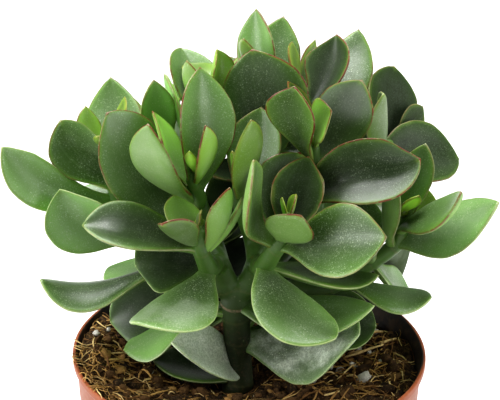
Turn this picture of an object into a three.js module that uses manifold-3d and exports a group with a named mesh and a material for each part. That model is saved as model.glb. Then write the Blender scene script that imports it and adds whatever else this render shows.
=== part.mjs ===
// Jade plant (Crassula) in a round nursery pot. Millimetres, +Z up.
// Origin: centre of the pot's underside, on the surface it stands on.
// The plant is one branching stem with opposite leaves. Each leaf pair (or
// cluster at a shoot tip) is a piece of its own that clasps the stem.

import * as THREE from 'three';
import { mergeVertices } from 'three/addons/utils/BufferGeometryUtils.js';
import Module from 'manifold-3d';

// ---------------------------------------------------------------- dimensions
const POT_H = 95;            // height of the pot
const RIM_R = 60;            // outer radius of the rolled rim
const COLLAR_R = 58.6;       // outer radius of the collar under the rim
const COLLAR_H = 15.5;       // height of the collar
const FOOT_R = 41.2;         // outer radius of the foot ring
const FLOOR_Z = 4.2;         // inside of the floor
const BOSS_R = 14;           // flat disc in the middle of the floor
const DRAIN_N = 5;           // drain holes
const DRAIN_R = 3.6;
const DRAIN_PCD = 52;
const POT_SIDES = 28;
const SOIL_GAP = 0.3;        // between the soil and what it touches
const SOIL_TOP = 85;         // mean level of the soil
const SOIL_MAX = 94.2;       // where it is heaped against the rim
const STEM_SIDES = 6;
const LEAF_SIDES = 6;
const LEAF_GAP = 0.3;        // between a leaf base and the stem it clasps
const SECTION_POWER = 2.4;   // superellipse power of a leaf's cross-section
const CROWN_SHARE = 0.75;    // share of the thickness above the mid surface

// stations along a leaf, 0 at the stem, 1 at the tip
const STATIONS = {
  full: [0, 0.21, 0.43, 0.64, 0.82, 0.945],
  back: [0, 0.3, 0.62, 0.9],
  small: [0, 0.4, 0.82],
};

// outline of a leaf: half width against station, blunt and pointed forms
const OUT_S = [0, 0.08, 0.2, 0.35, 0.5, 0.62, 0.75, 0.86, 0.94, 0.98, 1];
const OUT_BLUNT = [0.20, 0.25, 0.44, 0.72, 0.93, 1, 0.95, 0.74, 0.43, 0.20, 0];
const OUT_POINTED = [0.20, 0.25, 0.46, 0.76, 0.96, 1, 0.88, 0.60, 0.29, 0.11, 0];
const THICK_S = [0, 0.1, 0.3, 0.6, 0.85, 0.95, 1];
const THICK_V = [1.15, 1.05, 1, 0.95, 0.75, 0.55, 0.25];

// centre line and radius of each branch: [x, y, z, r]
const BRANCHES = {
  trunk: [
    [-3.76, 1.5, 64, 5.2],
    [-3.76, 1, 80, 5.2],
    [-3.76, 1, 82.342, 5],
    [-4.29, 1, 98.231, 4.8],
    [-4.727, 1, 106.636, 4.7],
    [-5.122, 1, 111.563, 4.7],
    [-4.196, 1, 118.739, 4.3],
  ],
  left_limb: [
    [-4.705, 1, 114.792, 4.2],
    [-7.204, 0.5, 118.187, 3.7],
    [-10.272, -1, 127.086, 3.4],
  ],
  right_limb: [
    [-4.705, 1, 114.792, 4.2],
    [-1.164, 0.5, 118.293, 3.7],
    [1.723, -1, 127.296, 3.4],
  ],
  front_left: [
    [-10.272, -1, 127.086, 3.4],
    [-12.489, -7, 129.619, 3.3],
    [-13.716, -11, 130.096, 3.2],
    [-16.301, -14, 138.42, 2.9],
    [-16.942, -15, 142.489, 2.3],
    [-16.052, -15, 146.013, 1.5],
  ],
  front_right: [
    [1.723, -1, 127.296, 3.4],
    [3.027, -7, 129.89, 3.3],
    [4.006, -11, 130.772, 3.2],
    [8.075, -15, 140.048, 2.9],
    [10.55, -16, 145.591, 2.3],
    [11.373, -16, 149.346, 1.5],
  ],
  centre: [
    [1.723, -1, 127.296, 3.1],
    [0.26, 7, 133.062, 2.9],
    [-3.904, 3, 147.71, 2.6],
    [-4.988, 2, 156.455, 1.6],
  ],
  mid_left: [
    [-10.272, -1, 127.086, 3.3],
    [-15.117, 5, 131.891, 3.2],
    [-21.163, 5, 139.544, 3],
    [-17.426, 1, 149.473, 2.6],
    [-19.364, -1, 156.101, 2.2],
    [-20.032, -1, 160.38, 1.5],
  ],
  far_left: [
    [-4.566, 1, 115.869, 3.8],
    [-15.323, 3, 117.917, 3.4],
    [-28.829, 4, 121.317, 3.2],
    [-35.592, 6, 132.913, 3],
    [-45.096, 10, 144.551, 2.7],
    [-45.449, 12, 153.896, 2.3],
    [-44.747, 13, 162.541, 1.5],
  ],
  upper_left: [
    [-10.272, -1, 127.086, 3.4],
    [-13.257, 12, 130.453, 3.2],
    [-21.627, 18, 154.612, 2.8],
    [-16.089, 22, 167.588, 2.3],
    [-15.829, 23, 176.204, 1.5],
  ],
  top: [
    [1.723, -1, 127.296, 3.4],
    [3.604, 13, 133.265, 3.2],
    [5.372, 17, 148.166, 3],
    [7.483, 18, 161.312, 2.8],
    [16.972, 22, 172.844, 2.3],
    [16.144, 24, 180.649, 1.5],
  ],
  rear_top: [
    [5.372, 17, 148.166, 2.9],
    [3.868, 26, 157.124, 2.6],
    [3.645, 32, 170.039, 2.3],
    [0.806, 33, 177.959, 1.5],
  ],
  mid_right: [
    [1.723, -1, 127.296, 3.4],
    [9.657, 5, 132.322, 3.2],
    [20.015, 4, 145.116, 2.9],
    [21.895, 8, 152.451, 2.7],
    [20.331, 7, 160.457, 2.3],
    [20.488, 7, 166.911, 1.6],
  ],
  rear_right: [
    [20.015, 4, 145.116, 2.9],
    [31.431, 16, 143.52, 2.8],
    [42.501, 20, 150.058, 2.6],
    [44.385, 24, 158.665, 2.3],
    [48.914, 33, 159.37, 1.5],
  ],
  far_right: [
    [-4.659, 1, 115.151, 3.7],
    [11.722, 6, 114.239, 3.4],
    [27.03, 9, 114.896, 3.2],
    [40.757, 11, 122.856, 3],
    [48.375, 12, 128.527, 2.6],
    [50.531, 12, 133.431, 2.2],
    [52.641, 12, 139.048, 1.5],
  ],
  back_left: [
    [-4.566, 1, 115.869, 3.6],
    [-10, 13, 116, 3.3],
    [-16, 24, 120, 3.1],
    [-24, 35, 131, 2.8],
    [-30, 42, 142, 2.3],
    [-33, 46, 151, 1.5],
  ],
  back_right: [
    [-4.566, 1, 115.869, 3.6],
    [4, 13, 117, 3.3],
    [14, 26, 122, 3.1],
    [24, 38, 133, 2.8],
    [29, 45, 144, 2.3],
    [31, 48, 153, 1.5],
  ],
  back_centre: [
    [-13.257, 12, 130.453, 3],
    [-7.791, 29, 132.409, 2.8],
    [-4, 46, 146, 2.4],
    [-5, 51, 157, 1.5],
  ],
};

// Every leaf: base x y z, tip x y z, upper-side direction x y z, roll, width,
// arch, second arch, side bend, fold of the halves, twist, fullness power,
// pointedness, thickness. "at" and "dir" place the collar on the stem.
const LEAF_NODES = [
  { name: 'trunk_leaves_1', at: [-3.76, 1, 82.342], dir: [-0.03, 0.001, 1], stemR: 5, leaves: [
    { kind: 'full', v: [-3.673, 1, 83.919, -25.55, -20.421, 107.646, 0.545, 0.321, 0.774, -0.6174, 20.8697, 0.1278, 0.1036, -0.0576, 0.3549, 0.035, 0.75, 0.4464, 2.8389] },
    { kind: 'full', v: [-3.64, 1, 82.17, -32.564, 0.228, 89.111, 0.223, 0.008, 0.975, -0.1019, 20.0824, -0.0188, -0.0273, -0.0072, 0.1904, 0.0072, 0.984, 0.3485, 2.9042] },
  ] },
  { name: 'trunk_leaves_2', at: [-4.29, 1, 98.231], dir: [-0.04, 0, 0.999], stemR: 4.8, leaves: [
    { kind: 'full', v: [-3.953, 1, 97.93, 35.825, -20.677, 111.81, -0.246, 0.114, 0.962, 0.6787, 32.5172, -0.3522, -0.1034, -0.2679, 0.0459, -0.45, 1.0426, 0.5898, 3.1] },
    { kind: 'full', v: [-4.07, 1, 98.36, 43.559, 15.17, 96.373, 0.028, 0.008, 1, 0.7262, 24.2256, 0.1732, -0.163, 0.0142, 0.3336, 0.1349, 1.1895, 0, 3.1] },
    { kind: 'back', v: [-4.29, 1, 98.231, 12.659, 36.318, 117.922, -0.194, -0.405, 0.893, -0.3454, 24.1148, -0.2065, -0.0032, 0.0132, 0.1368, 0.9953, 0.9796, 0.5496, 3.1] },
  ] },
  { name: 'trunk_leaves_3', at: [-4.727, 1, 106.636], dir: [-0.066, 0, 0.998], stemR: 4.7, leaves: [
    { kind: 'full', v: [-5.766, 1, 107.484, -42.562, -1.369, 94.281, -0.214, -0.041, 0.976, 0.0805, 21.8134, 0.2941, 0.5, 0.1321, -0.1513, -0.45, 1.35, 0, 3.1] },
  ] },
  { name: 'trunk_leaves_4', at: [-5.122, 1, 111.563], dir: [0.044, 0, 0.999], stemR: 4.7, leaves: [
    { kind: 'full', v: [-4.167, 1, 110.446, -48.046, 14.391, 96.478, -0.29, 0.075, 0.954, -0.8338, 26.2657, -0.0907, -0.4283, 0.1579, 0.3072, -0.2679, 1.0968, 0, 3.1] },
    { kind: 'full', v: [-5.026, 1, 111.329, 40.705, -15.082, 119.64, -0.089, 0.017, 0.996, 0.2629, 22.0865, -0.3002, 0.0809, 0.181, 0.0472, -0.1337, 0.943, 0.5782, 3.1] },
  ] },
  { name: 'front_left_leaves_1', at: [-13.716, -11, 130.096], dir: [-0.322, -0.587, 0.743], stemR: 3.2, leaves: [
    { kind: 'full', v: [-13.49, -11, 130.518, -37.911, -9.298, 129.84, -0.105, 0.031, 0.994, -0.8631, 23.9274, 0.2815, -0.1726, 0.1143, 0.2489, -0.032, 1.027, 0.2389, 2.7737] },
    { kind: 'full', v: [-13.872, -11, 130.481, -36.585, -45.356, 128.029, -0.169, -0.157, 0.973, -0.0093, 26.8304, -0.3544, 0.0647, -0.278, -0.1842, 0.4385, 0.9576, 0.4179, 3.1] },
  ] },
  { name: 'front_left_leaves_2', at: [-16.301, -14, 138.42], dir: [-0.242, -0.293, 0.925], stemR: 2.9, leaves: [
    { kind: 'full', v: [-16.331, -14, 138.373, -54.254, -18.475, 148.688, 0.164, -0.017, 0.986, -0.3127, 22.2221, 0.1205, 0.0266, 0.0195, 0.2826, -0.0489, 0.9853, 0.0904, 3.1] },
    { kind: 'full', v: [-16.035, -14, 137.602, -3.149, -3.925, 152.993, -0.496, -0.418, 0.761, -0.7485, 13.4148, -0.2881, 0.0815, 0.1537, 0.0709, -0.0978, 1.0055, 0.3816, 2.7737] },
    { kind: 'full', v: [-16.042, -14, 138.385, -7.35, -21.078, 163.794, -0.882, 0.297, 0.366, -0.2667, 13.6065, -0.3442, -0.0826, -0.0582, 0.4073, 0.2237, 1.0969, 0.5441, 2.8389] },
  ] },
  { name: 'front_left_leaves_3', at: [-16.942, -15, 142.489], dir: [0.041, -0.125, 0.991], stemR: 2.3, leaves: [
    { kind: 'full', v: [-16.839, -15, 142.22, -25.284, -6.426, 154.471, 0.475, -0.526, 0.706, 0.176, 15.6258, 0.063, 0.1222, -0.2489, 0.0442, 0.1709, 0.8841, 0.4641, 2.7084] },
    { kind: 'full', v: [-17.577, -15, 142.425, -28.413, -31.516, 155.674, 0.388, 0.385, 0.837, 0.5331, 12.927, -0.114, -0.3446, -0.1928, 0.3571, -0.0229, 0.9924, 0.5626, 2.5779] },
  ] },
  { name: 'front_left_tip', at: [-15.671, -15, 147.523], dir: [0.257, 0.008, 0.966], stemR: 1.5, leaves: [
    { kind: 'small', v: [-16.893, -15, 148.004, -16.196, -20.634, 154.762, 1, 0, 0, -0.1602, 5.0073, -0.1847, -0.0569, 0.013, 0.1237, 0.0579, 0.9895, 0.7513, 1.3684] },
  ] },
  { name: 'front_right_leaves_1', at: [4.006, -11, 130.772], dir: [0.364, -0.575, 0.732], stemR: 3.2, leaves: [
    { kind: 'full', v: [4.274, -11, 131.559, 27.089, -42.344, 121.757, 0.125, -0.141, 0.982, -0.1061, 26.5792, -0.175, 0.2466, 0.328, -0.1049, 0.1799, 0.8492, 0, 3.1] },
    { kind: 'full', v: [4.262, -11, 131.299, 42.661, -0.106, 123.357, 0.172, 0.049, 0.984, -0.0264, 19.7639, -0.2124, 0.1868, 0.0029, 0.0828, -0.0948, 0.9283, 0.4527, 3.1] },
  ] },
  { name: 'front_right_leaves_2', at: [8.075, -15, 140.048], dir: [0.387, -0.291, 0.875], stemR: 2.9, leaves: [
    { kind: 'full', v: [7.702, -15, 141.114, 0.343, -29.614, 177.297, 0.798, -0.524, 0.298, 0.1317, 17.9081, -0.3994, -0.3583, -0.3095, 0.1704, 0.1619, 0.949, 0.4433, 2.9695] },
    { kind: 'full', v: [7.949, -15, 139.834, 15.447, 3.124, 165.96, -0.306, -0.739, 0.6, 0.421, 22.7752, 0.0173, -0.104, -0.0762, 0.1798, -0.0648, 1.0743, 0.181, 3.1] },
    { kind: 'full', v: [9.46, -15, 141.397, 42.057, -37.869, 155.37, -0.27, 0.117, 0.956, 0.9882, 25.2249, -0.0831, 0.0147, 0.0247, 0.3291, 0.0035, 1.0529, 0.4233, 3.1] },
  ] },
  { name: 'front_right_leaves_3', at: [10.55, -16, 145.591], dir: [0.332, -0.093, 0.939], stemR: 2.3, leaves: [
    { kind: 'full', v: [9.28, -16, 144.501, 15.538, -32.302, 159.818, -0.255, 0.625, 0.737, -0.5956, 15.8807, -0.1838, -0.0604, 0.2207, -0.0905, 0.03, 0.9509, 0.3947, 2.5126] },
    { kind: 'full', v: [11.001, -16, 145.66, 18.239, -1.281, 166.599, -0.494, -0.706, 0.507, 0.5555, 17.0252, -0.043, -0.0683, -0.0679, 0.2184, -0.1568, 0.7682, 0.6149, 2.9368] },
  ] },
  { name: 'front_right_tip', at: [11.726, -16, 150.956], dir: [0.205, 0.008, 0.979], stemR: 1.5, leaves: [
    { kind: 'small', v: [11.525, -16, 150.575, 9.558, -23.746, 161.91, 0.538, 0.754, 0.376, -0.7497, 4.9119, -0.0869, 0.0088, -0.0111, 0.1358, -0.026, 0.9819, 0.7762, 1.4947] },
    { kind: 'small', v: [11.57, -16, 149.771, 14.236, -15.652, 159.592, -0.743, -0.543, 0.391, -0.4026, 6.872, 0.0419, -0.0266, -0.0223, 0.2389, -0.0212, 1.0257, 0.7732, 1.5158] },
  ] },
  { name: 'centre_leaves_1', at: [-4.2, 2, 119], dir: [0.132, 0, 0.991], stemR: 4.3, leaves: [
    { kind: 'back', v: [-4.2, 2, 119, -3.631, 42.426, 116.304, 0.001, 0.067, 0.998, -0.4126, 25.5912, -0.3243, -0.0088, 0.0348, 0.3461, 0.2343, 1.0573, 0.2306, 3.1] },
  ] },
  { name: 'centre_leaves_2', at: [-3.904, 3, 147.71], dir: [-0.215, -0.216, 0.953], stemR: 2.6, leaves: [
    { kind: 'small', v: [-4.209, 3, 147.781, -0.799, -7.081, 181.539, -0.406, 0.885, 0.23, 0.4459, 14.6617, -0.0838, 0.0384, -0.0749, 0.071, -0.0642, 0.8662, 0.4647, 1.8737] },
    { kind: 'full', v: [-3.774, 3, 147.428, 2.611, 18.014, 175.817, -0.465, -0.794, 0.392, 0.3324, 19.2456, -0.1165, 0.0252, 0.0629, 0.382, 0.0034, 0.9274, 0.4494, 3.1] },
  ] },
  { name: 'centre_tip', at: [-4.988, 2, 156.455], dir: [-0.115, -0.105, 0.988], stemR: 1.6, leaves: [
    { kind: 'small', v: [-4.921, 2, 156.328, -6.641, -0.351, 167.824, 0.48, 0.832, 0.278, -0.2995, 4.8984, -0.0063, 0.0054, -0.0176, 0.2228, -0.0407, 0.9752, 0.796, 1.4526] },
  ] },
  { name: 'mid_left_leaves_1', at: [-21.163, 5, 139.544], dir: [-0.118, -0.23, 0.966], stemR: 3, leaves: [
    { kind: 'full', v: [-21.558, 5, 139.47, -47.405, 1.272, 179.737, 0.811, 0.218, 0.543, -1.1233, 26.1103, -0.207, -0.2179, 0.0293, 0.037, -0.0136, 0.8777, 0.1489, 3.1] },
    { kind: 'back', v: [-21.163, 5, 139.544, -45.081, 34.713, 134.544, -0.081, 0.101, 0.992, 0.0711, 22.1203, -0.0012, -0.0817, 0.062, 0.1616, -0.003, 1.0833, 0.354, 3.1] },
  ] },
  { name: 'mid_left_leaves_2', at: [-17.426, 1, 149.473], dir: [0.114, -0.345, 0.932], stemR: 2.6, leaves: [
    { kind: 'full', v: [-18.747, 1, 150.129, -33.356, -10.655, 181.018, 0.606, 0.572, 0.552, 0.2503, 16.9192, -0.5309, 0.0515, 0.123, -0.1385, 0.0637, 0.9572, 0.4714, 3.0347] },
    { kind: 'full', v: [-19.085, 1, 150.396, -17.833, 17.507, 189.773, 0.015, -0.968, 0.25, 0.65, 24.3756, 0.322, 0.1189, 0.0904, 0.3722, 0.038, 0.9379, 0.8494, 3.1] },
  ] },
  { name: 'mid_left_leaves_3', at: [-19.364, -1, 156.101], dir: [-0.245, -0.171, 0.954], stemR: 2.2, leaves: [
    { kind: 'small', v: [-20.799, -1, 155.535, -32.957, 7.469, 178.087, 0.799, -0.295, 0.524, 0.1828, 18.5095, -0.0981, -0.1728, -0.0141, 0.1844, 0.2327, 0.7739, 0.8583, 1.8947] },
    { kind: 'small', v: [-19.025, -1, 156.421, -15.249, -12.005, 181.482, -0.42, 0.84, 0.344, 0.4905, 10.6557, -0.3767, 0.0284, -0.1718, -0.0221, 0.0423, 0.9111, 0.8116, 1.7263] },
  ] },
  { name: 'mid_left_tip', at: [-20.032, -1, 160.38], dir: [-0.148, 0.014, 0.989], stemR: 1.5, leaves: [
    { kind: 'small', v: [-18.325, -1, 160.806, -20.232, -10.669, 171.998, 0.302, 0.953, 0, 0.1354, 3.9326, -0.3544, 0.0924, -0.0507, 0.1175, -0.0217, 1.2473, 0.7481, 1.4526] },
  ] },
  { name: 'far_left_leaves_1', at: [-28.829, 4, 121.317], dir: [-0.798, 0.115, 0.592], stemR: 3.2, leaves: [
    { kind: 'full', v: [-28.918, 4, 122.295, -69.772, -5.53, 122.492, -0.107, 0.005, 0.994, 0.0808, 24.2523, -0.4141, 0.4213, -0.0256, -0.2, -0.4072, 1.1593, 0.3827, 3.1] },
    { kind: 'full', v: [-28.7, 4, 121.218, -49.709, 25.441, 111.952, -0.209, 0.209, 0.955, -0.1494, 19.1486, -0.1077, 0.0406, 0.0572, 0.0783, -0.0949, 0.924, 0.459, 2.9042] },
    { kind: 'back', v: [-28.829, 4, 121.317, -12.762, -20.743, 116.469, 0.088, -0.136, 0.987, -0.006, 16.5224, -0.1512, -0.0502, 0.0966, 0.3321, -0.2149, 0.9604, 0.3621, 3.1] },
  ] },
  { name: 'far_left_leaves_2', at: [-35.592, 6, 132.913], dir: [-0.558, 0.208, 0.804], stemR: 3, leaves: [
    { kind: 'full', v: [-35.853, 6, 132.725, -62.474, -4.782, 155.135, 0.574, 0.127, 0.809, -1.7816, 25.5585, -0.4727, 0.2422, 0.0365, 0.5193, 0.0245, 1.2313, 0.1478, 3.1] },
    { kind: 'back', v: [-35.592, 6, 132.913, -32.146, 33.21, 122.212, 0.046, 0.361, 0.932, 0.0875, 17.045, -0.0884, 0.1215, -0.0157, 0.1741, 0.0601, 1.0226, 0.5916, 3.1] },
  ] },
  { name: 'far_left_leaves_3', at: [-45.096, 10, 144.551], dir: [-0.415, 0.253, 0.874], stemR: 2.7, leaves: [
    { kind: 'full', v: [-45.488, 10, 145.146, -81.017, -4.68, 169.756, 0.421, -0.022, 0.907, -0.9914, 16.1469, -0.5485, 0.1345, -0.1157, 0.1847, 0.0987, 1.0983, 0.3189, 3.1] },
    { kind: 'full', v: [-44.461, 10, 146.834, -63.392, 10.408, 173.037, 0.669, -0.351, 0.655, -0.3645, 20.7582, -0.0401, 0.458, -0.0591, -0.2, 0.3677, 1.2215, 0.4755, 3.1] },
    { kind: 'back', v: [-45.096, 10, 144.551, -26.056, 37.739, 144.017, 0.009, 0.013, 1, 0.0135, 19.7934, 0.002, 0.0527, 0.0163, 0.2727, -0.2566, 0.901, 0.3283, 2.9695] },
  ] },
  { name: 'far_left_leaves_4', at: [-45.449, 12, 153.896], dir: [0.034, 0.162, 0.986], stemR: 2.3, leaves: [
    { kind: 'small', v: [-46.796, 12, 152.801, -56.428, 28.237, 171.122, 0.584, -0.56, 0.588, 0.0706, 10.7915, -0.3338, -0.1183, -0.1605, 0.055, -0.0246, 1.1621, 0.6456, 1.7895] },
    { kind: 'full', v: [-45.257, 12, 153.337, -48.939, 42.364, 176.177, 0.134, -0.872, 0.471, -0.291, 19.972, -0.2887, 0.0739, 0.0431, 0.0618, 0.039, 0.75, 0.5571, 3.1] },
  ] },
  { name: 'far_left_tip', at: [-44.747, 13, 162.541], dir: [0.084, 0.111, 0.99], stemR: 1.5, leaves: [
    { kind: 'small', v: [-44.791, 13, 162.433, -43.5, 31.211, 173.659, -0.078, -0.675, 0.734, -0.8484, 7.7599, -0.0291, 0.0185, -0.0219, 0.2192, -0.0881, 0.9605, 0.7946, 1.6632] },
    { kind: 'small', v: [-44.747, 13, 162.541, -50.891, 4.083, 170.578, 0.338, 0.491, 0.803, 0.2744, 7.492, -0.3785, -0.0008, -0.033, 0.2665, -0.0612, 0.9512, 0.4573, 1.7368] },
  ] },
  { name: 'upper_left_leaves_1', at: [-21.627, 18, 154.612], dir: [-0.072, 0.252, 0.965], stemR: 2.8, leaves: [
    { kind: 'full', v: [-23.541, 18, 153.323, -32.9, 17.121, 185.329, 0.805, -0.429, 0.409, -0.4647, 15.4326, -0.4844, -0.1818, -0.2229, 0.4019, -0.0909, 1.1502, 0.6804, 3.1] },
    { kind: 'full', v: [-21.703, 18, 154.48, -29.814, 27.166, 183.445, 0.5, -0.733, 0.461, -1.8579, 16.1935, -0.0519, -0.023, 0.0323, -0.031, -0.1734, 0.9648, 0.3988, 3.1] },
    { kind: 'back', v: [-21.627, 18, 154.612, -18.156, 50.012, 141.973, 0.039, 0.363, 0.931, 0.0897, 20.0266, 0.2826, 0.108, 0.0017, 0.2248, 0.2026, 1.0823, 0.3664, 3.1] },
    { kind: 'back', v: [-21.627, 18, 154.612, -3.948, 36.265, 166.542, -0.295, -0.305, 0.905, -0.2548, 16.2565, 0.0636, 0.1031, 0.0069, 0.1512, 0.0703, 1.0577, 0.4844, 3.1] },
    { kind: 'back', v: [-21.627, 18, 154.612, 0.423, 16.373, 152.386, 0.1, -0.007, 0.995, 0.1653, 13.333, -0.0619, -0.0084, 0.0445, 0.1394, 0.0224, 1.0995, 0.5313, 2.8389] },
  ] },
  { name: 'upper_left_leaves_2', at: [-16.089, 22, 167.588], dir: [0.273, 0.218, 0.937], stemR: 2.3, leaves: [
    { kind: 'full', v: [-16.465, 22, 167.137, -25.409, 49.125, 184.709, 0.757, -0.527, 0.386, -0.3257, 21.7291, -0.1557, -0.1783, 0.0682, 0.454, 0.0399, 0.9329, 0.3755, 3.1] },
    { kind: 'small', v: [-16.184, 22, 167.336, -22.145, 21.435, 190.728, 0.917, 0.305, 0.257, 0.3842, 11.8761, -0.0982, 0.039, 0.0139, 0.1743, 0.0692, 0.9832, 0.7905, 1.7895] },
  ] },
  { name: 'upper_left_tip', at: [-15.829, 23, 176.204], dir: [0.012, 0.107, 0.994], stemR: 1.5, leaves: [
    { kind: 'small', v: [-15.29, 23, 175.415, -12.498, 28.601, 192.141, -0.328, -0.839, 0.435, 1.3825, 15.4421, -0.1468, 0.0339, 0.1706, 0.4788, 0.1718, 1.0279, 0.7648, 1.7474] },
    { kind: 'small', v: [-15.829, 23, 176.204, -19.765, 43.376, 181.561, 0.047, -0.245, 0.968, 0.0142, 11.7883, 0.4064, 0.1181, -0.0324, 0.2063, -0.0354, 1.076, 0.3938, 1.7832] },
  ] },
  { name: 'top_leaves_1', at: [7.483, 18, 161.312], dir: [0.427, 0.178, 0.887], stemR: 2.8, leaves: [
    { kind: 'full', v: [8.064, 18, 160.985, -0.581, 23.3, 194.224, 0.51, -0.745, 0.43, -0.7344, 28.7279, -0.0175, 0.1264, 0.0965, 0.0759, -0.2724, 0.75, 0.1968, 3.1] },
    { kind: 'back', v: [7.483, 18, 161.312, 24.162, 53.682, 151.876, 0.099, 0.211, 0.972, -0.0937, 23.4486, -0.2082, -0.1062, 0.0165, 0.3254, -0.0262, 1.0125, 0.503, 3.1] },
    { kind: 'back', v: [7.483, 18, 161.312, 33.825, 21.091, 164.483, -0.118, -0.014, 0.993, 0.4811, 15.4645, -0.1762, -0.1955, -0.0373, 0.122, -0.0555, 0.9557, 0.4295, 3.1] },
  ] },
  { name: 'top_leaves_2', at: [16.972, 22, 172.844], dir: [0.402, 0.276, 0.873], stemR: 2.3, leaves: [
    { kind: 'full', v: [17.768, 22, 172.756, 27.75, 38.798, 194.267, -0.785, -0.452, 0.424, 0.3557, 20.2359, -0.4057, 0.1166, 0.1811, 0.5365, -0.2359, 1.1109, 0.6535, 3.1] },
    { kind: 'full', v: [17.253, 22, 172.5, 36.074, 59.242, 188.955, -0.429, -0.476, 0.768, 0.466, 19.8322, -0.4029, 0.0878, 0.0977, 0.031, -0.0769, 0.7564, 0.5647, 3.1] },
  ] },
  { name: 'top_tip', at: [16.144, 24, 180.649], dir: [-0.141, 0.242, 0.96], stemR: 1.5, leaves: [
    { kind: 'small', v: [15.31, 24, 180.347, 12.825, 39.859, 191.19, 0.462, -0.772, 0.437, 0.5506, 7.9192, -0.1754, -0.0679, -0.064, 0.1342, -0.1654, 1.0624, 0.7409, 1.6211] },
    { kind: 'small', v: [14.51, 24, 179.582, 20.875, 48.338, 189.077, -0.205, -0.619, 0.758, 0.9144, 6.712, -0.3822, -0.0145, -0.1005, 0.1849, 0.0443, 0.9451, 0.9885, 1.6632] },
  ] },
  { name: 'rear_top_leaves_1', at: [3.645, 32, 170.039], dir: [-0.136, 0.31, 0.941], stemR: 2.3, leaves: [
    { kind: 'full', v: [3.988, 32, 169.86, 0.496, 43.533, 201.166, 0.364, -0.896, 0.256, -1.0318, 17.6632, 0.0489, 0.0005, 0.0937, 0.4309, -0.1802, 0.8708, 0.471, 3.1] },
    { kind: 'full', v: [3.565, 32, 169.691, 9.928, 54.702, 194.793, -0.335, -0.795, 0.506, 0.3218, 18.5904, -0.138, 0.0329, -0.0736, 0.302, -0.01, 0.75, 0.6994, 3.1] },
    { kind: 'back', v: [3.645, 32, 170.039, 23.501, 55.41, 157.087, 0.251, 0.296, 0.921, -0.1003, 19.4349, -0.0446, -0.0508, -0.1093, 0.329, -0.0732, 1.009, 0.252, 3.0347] },
    { kind: 'back', v: [3.645, 32, 170.039, -14.218, 57.624, 166.816, -0.059, 0.084, 0.995, -0.3926, 18.3177, 0.0879, -0.0834, 0.0431, 0.324, -0.1656, 0.9811, 0.2619, 3.0347] },
  ] },
  { name: 'rear_top_tip', at: [0.806, 33, 177.959], dir: [-0.349, 0.102, 0.931], stemR: 1.5, leaves: [
    { kind: 'small', v: [0.782, 33, 177.788, -3.502, 26.68, 196.82, 0.874, 0.41, 0.26, 0.2826, 10.0133, -0.0337, 0.0186, 0.0072, 0.1915, 0.0242, 0.9943, 0.7722, 1.6632] },
  ] },
  { name: 'mid_right_leaves_1', at: [20.015, 4, 145.116], dir: [0.517, 0.123, 0.847], stemR: 2.9, leaves: [
    { kind: 'full', v: [19.295, 4, 145.783, 54.747, 1.065, 165.426, -0.502, 0.043, 0.864, 0.9658, 25.5174, 0.3642, 0.4851, 0.1566, 0.55, 0.45, 0.8549, 0.1332, 3.1] },
    { kind: 'back', v: [20.015, 4, 145.116, 17.89, 45.309, 146.593, 0.002, -0.036, 0.999, -0.3524, 23.7992, -0.1187, -0.0391, -0.0104, 0.2334, 0.0252, 0.9393, 0.5542, 3.1] },
  ] },
  { name: 'mid_right_leaves_2', at: [20.331, 7, 160.457], dir: [-0.103, -0.079, 0.992], stemR: 2.3, leaves: [
    { kind: 'full', v: [20.491, 7, 160.028, 35.596, 16.439, 186.575, -0.537, -0.516, 0.667, 0.279, 21.3603, -0.1788, -0.0999, -0.005, 0.1207, -0.2457, 1.0164, 0.4029, 3.0021] },
    { kind: 'full', v: [19.677, 7, 161.043, 13.074, -2.921, 191.51, 0.97, 0, 0.244, -2.1895, 19.1774, -0.2092, 0.0208, 0.0601, 0.3823, 0.2614, 1.3075, 0.4199, 2.9042] },
  ] },
  { name: 'mid_right_tip', at: [20.488, 7, 166.911], dir: [0.032, 0.005, 0.999], stemR: 1.6, leaves: [
    { kind: 'small', v: [20.552, 7, 167.391, 25.195, -2.82, 183.415, -0.713, 0.565, 0.416, 0.9893, 15.2868, 0.2394, -0.0696, -0.027, 0.2492, 0.0006, 1.0861, 0.7253, 1.6] },
    { kind: 'small', v: [20.907, 7, 166.82, 11.224, 15.059, 186.33, 0.595, -0.581, 0.556, 0.2971, 11.1693, 0.0124, 0.0228, 0.0175, 0.2451, -0.002, 1.0341, 0.789, 1.7895] },
  ] },
  { name: 'rear_right_leaves_1', at: [42.501, 20, 150.058], dir: [0.595, 0.352, 0.722], stemR: 2.6, leaves: [
    { kind: 'full', v: [42.755, 20, 150.557, 42.69, 14.684, 182.613, -0.216, -0.944, 0.251, -1.6281, 16.5384, -0.0479, 0.1694, 0.0323, 0.4584, 0.1148, 1.1844, 0.2046, 2.9695] },
    { kind: 'full', v: [42.637, 20, 151.343, 70.963, 36.187, 150.625, -0.286, 0.022, 0.958, 0.8849, 24.5417, 0.5026, 0.1878, 0.0025, 0.2293, -0.3097, 0.7763, 0.1612, 3.1] },
    { kind: 'back', v: [42.501, 20, 150.058, 43.946, 49.177, 137.218, 0.02, 0.402, 0.915, 0.1781, 18.6142, 0.0753, 0.122, 0.0533, 0.1657, 0.2051, 1.0981, 0.5383, 3.0347] },
    { kind: 'back', v: [42.501, 20, 150.058, 35.488, 39.972, 163.725, 0.18, -0.512, 0.84, 0.2442, 14.1729, -0.5399, 0.0503, 0.0513, 0.1927, -0.2883, 1.0381, 0.3542, 2.9042] },
  ] },
  { name: 'rear_right_leaves_2', at: [44.385, 24, 158.665], dir: [0.358, 0.757, 0.546], stemR: 2.3, leaves: [
    { kind: 'full', v: [42.785, 24, 157.7, 48.338, 49.436, 179.051, -0.2, -0.862, 0.465, 1.0316, 26.3553, -0.3473, -0.2055, -0.0671, 0.1808, -0.2341, 0.9624, 0.3281, 3.0347] },
  ] },
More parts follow.
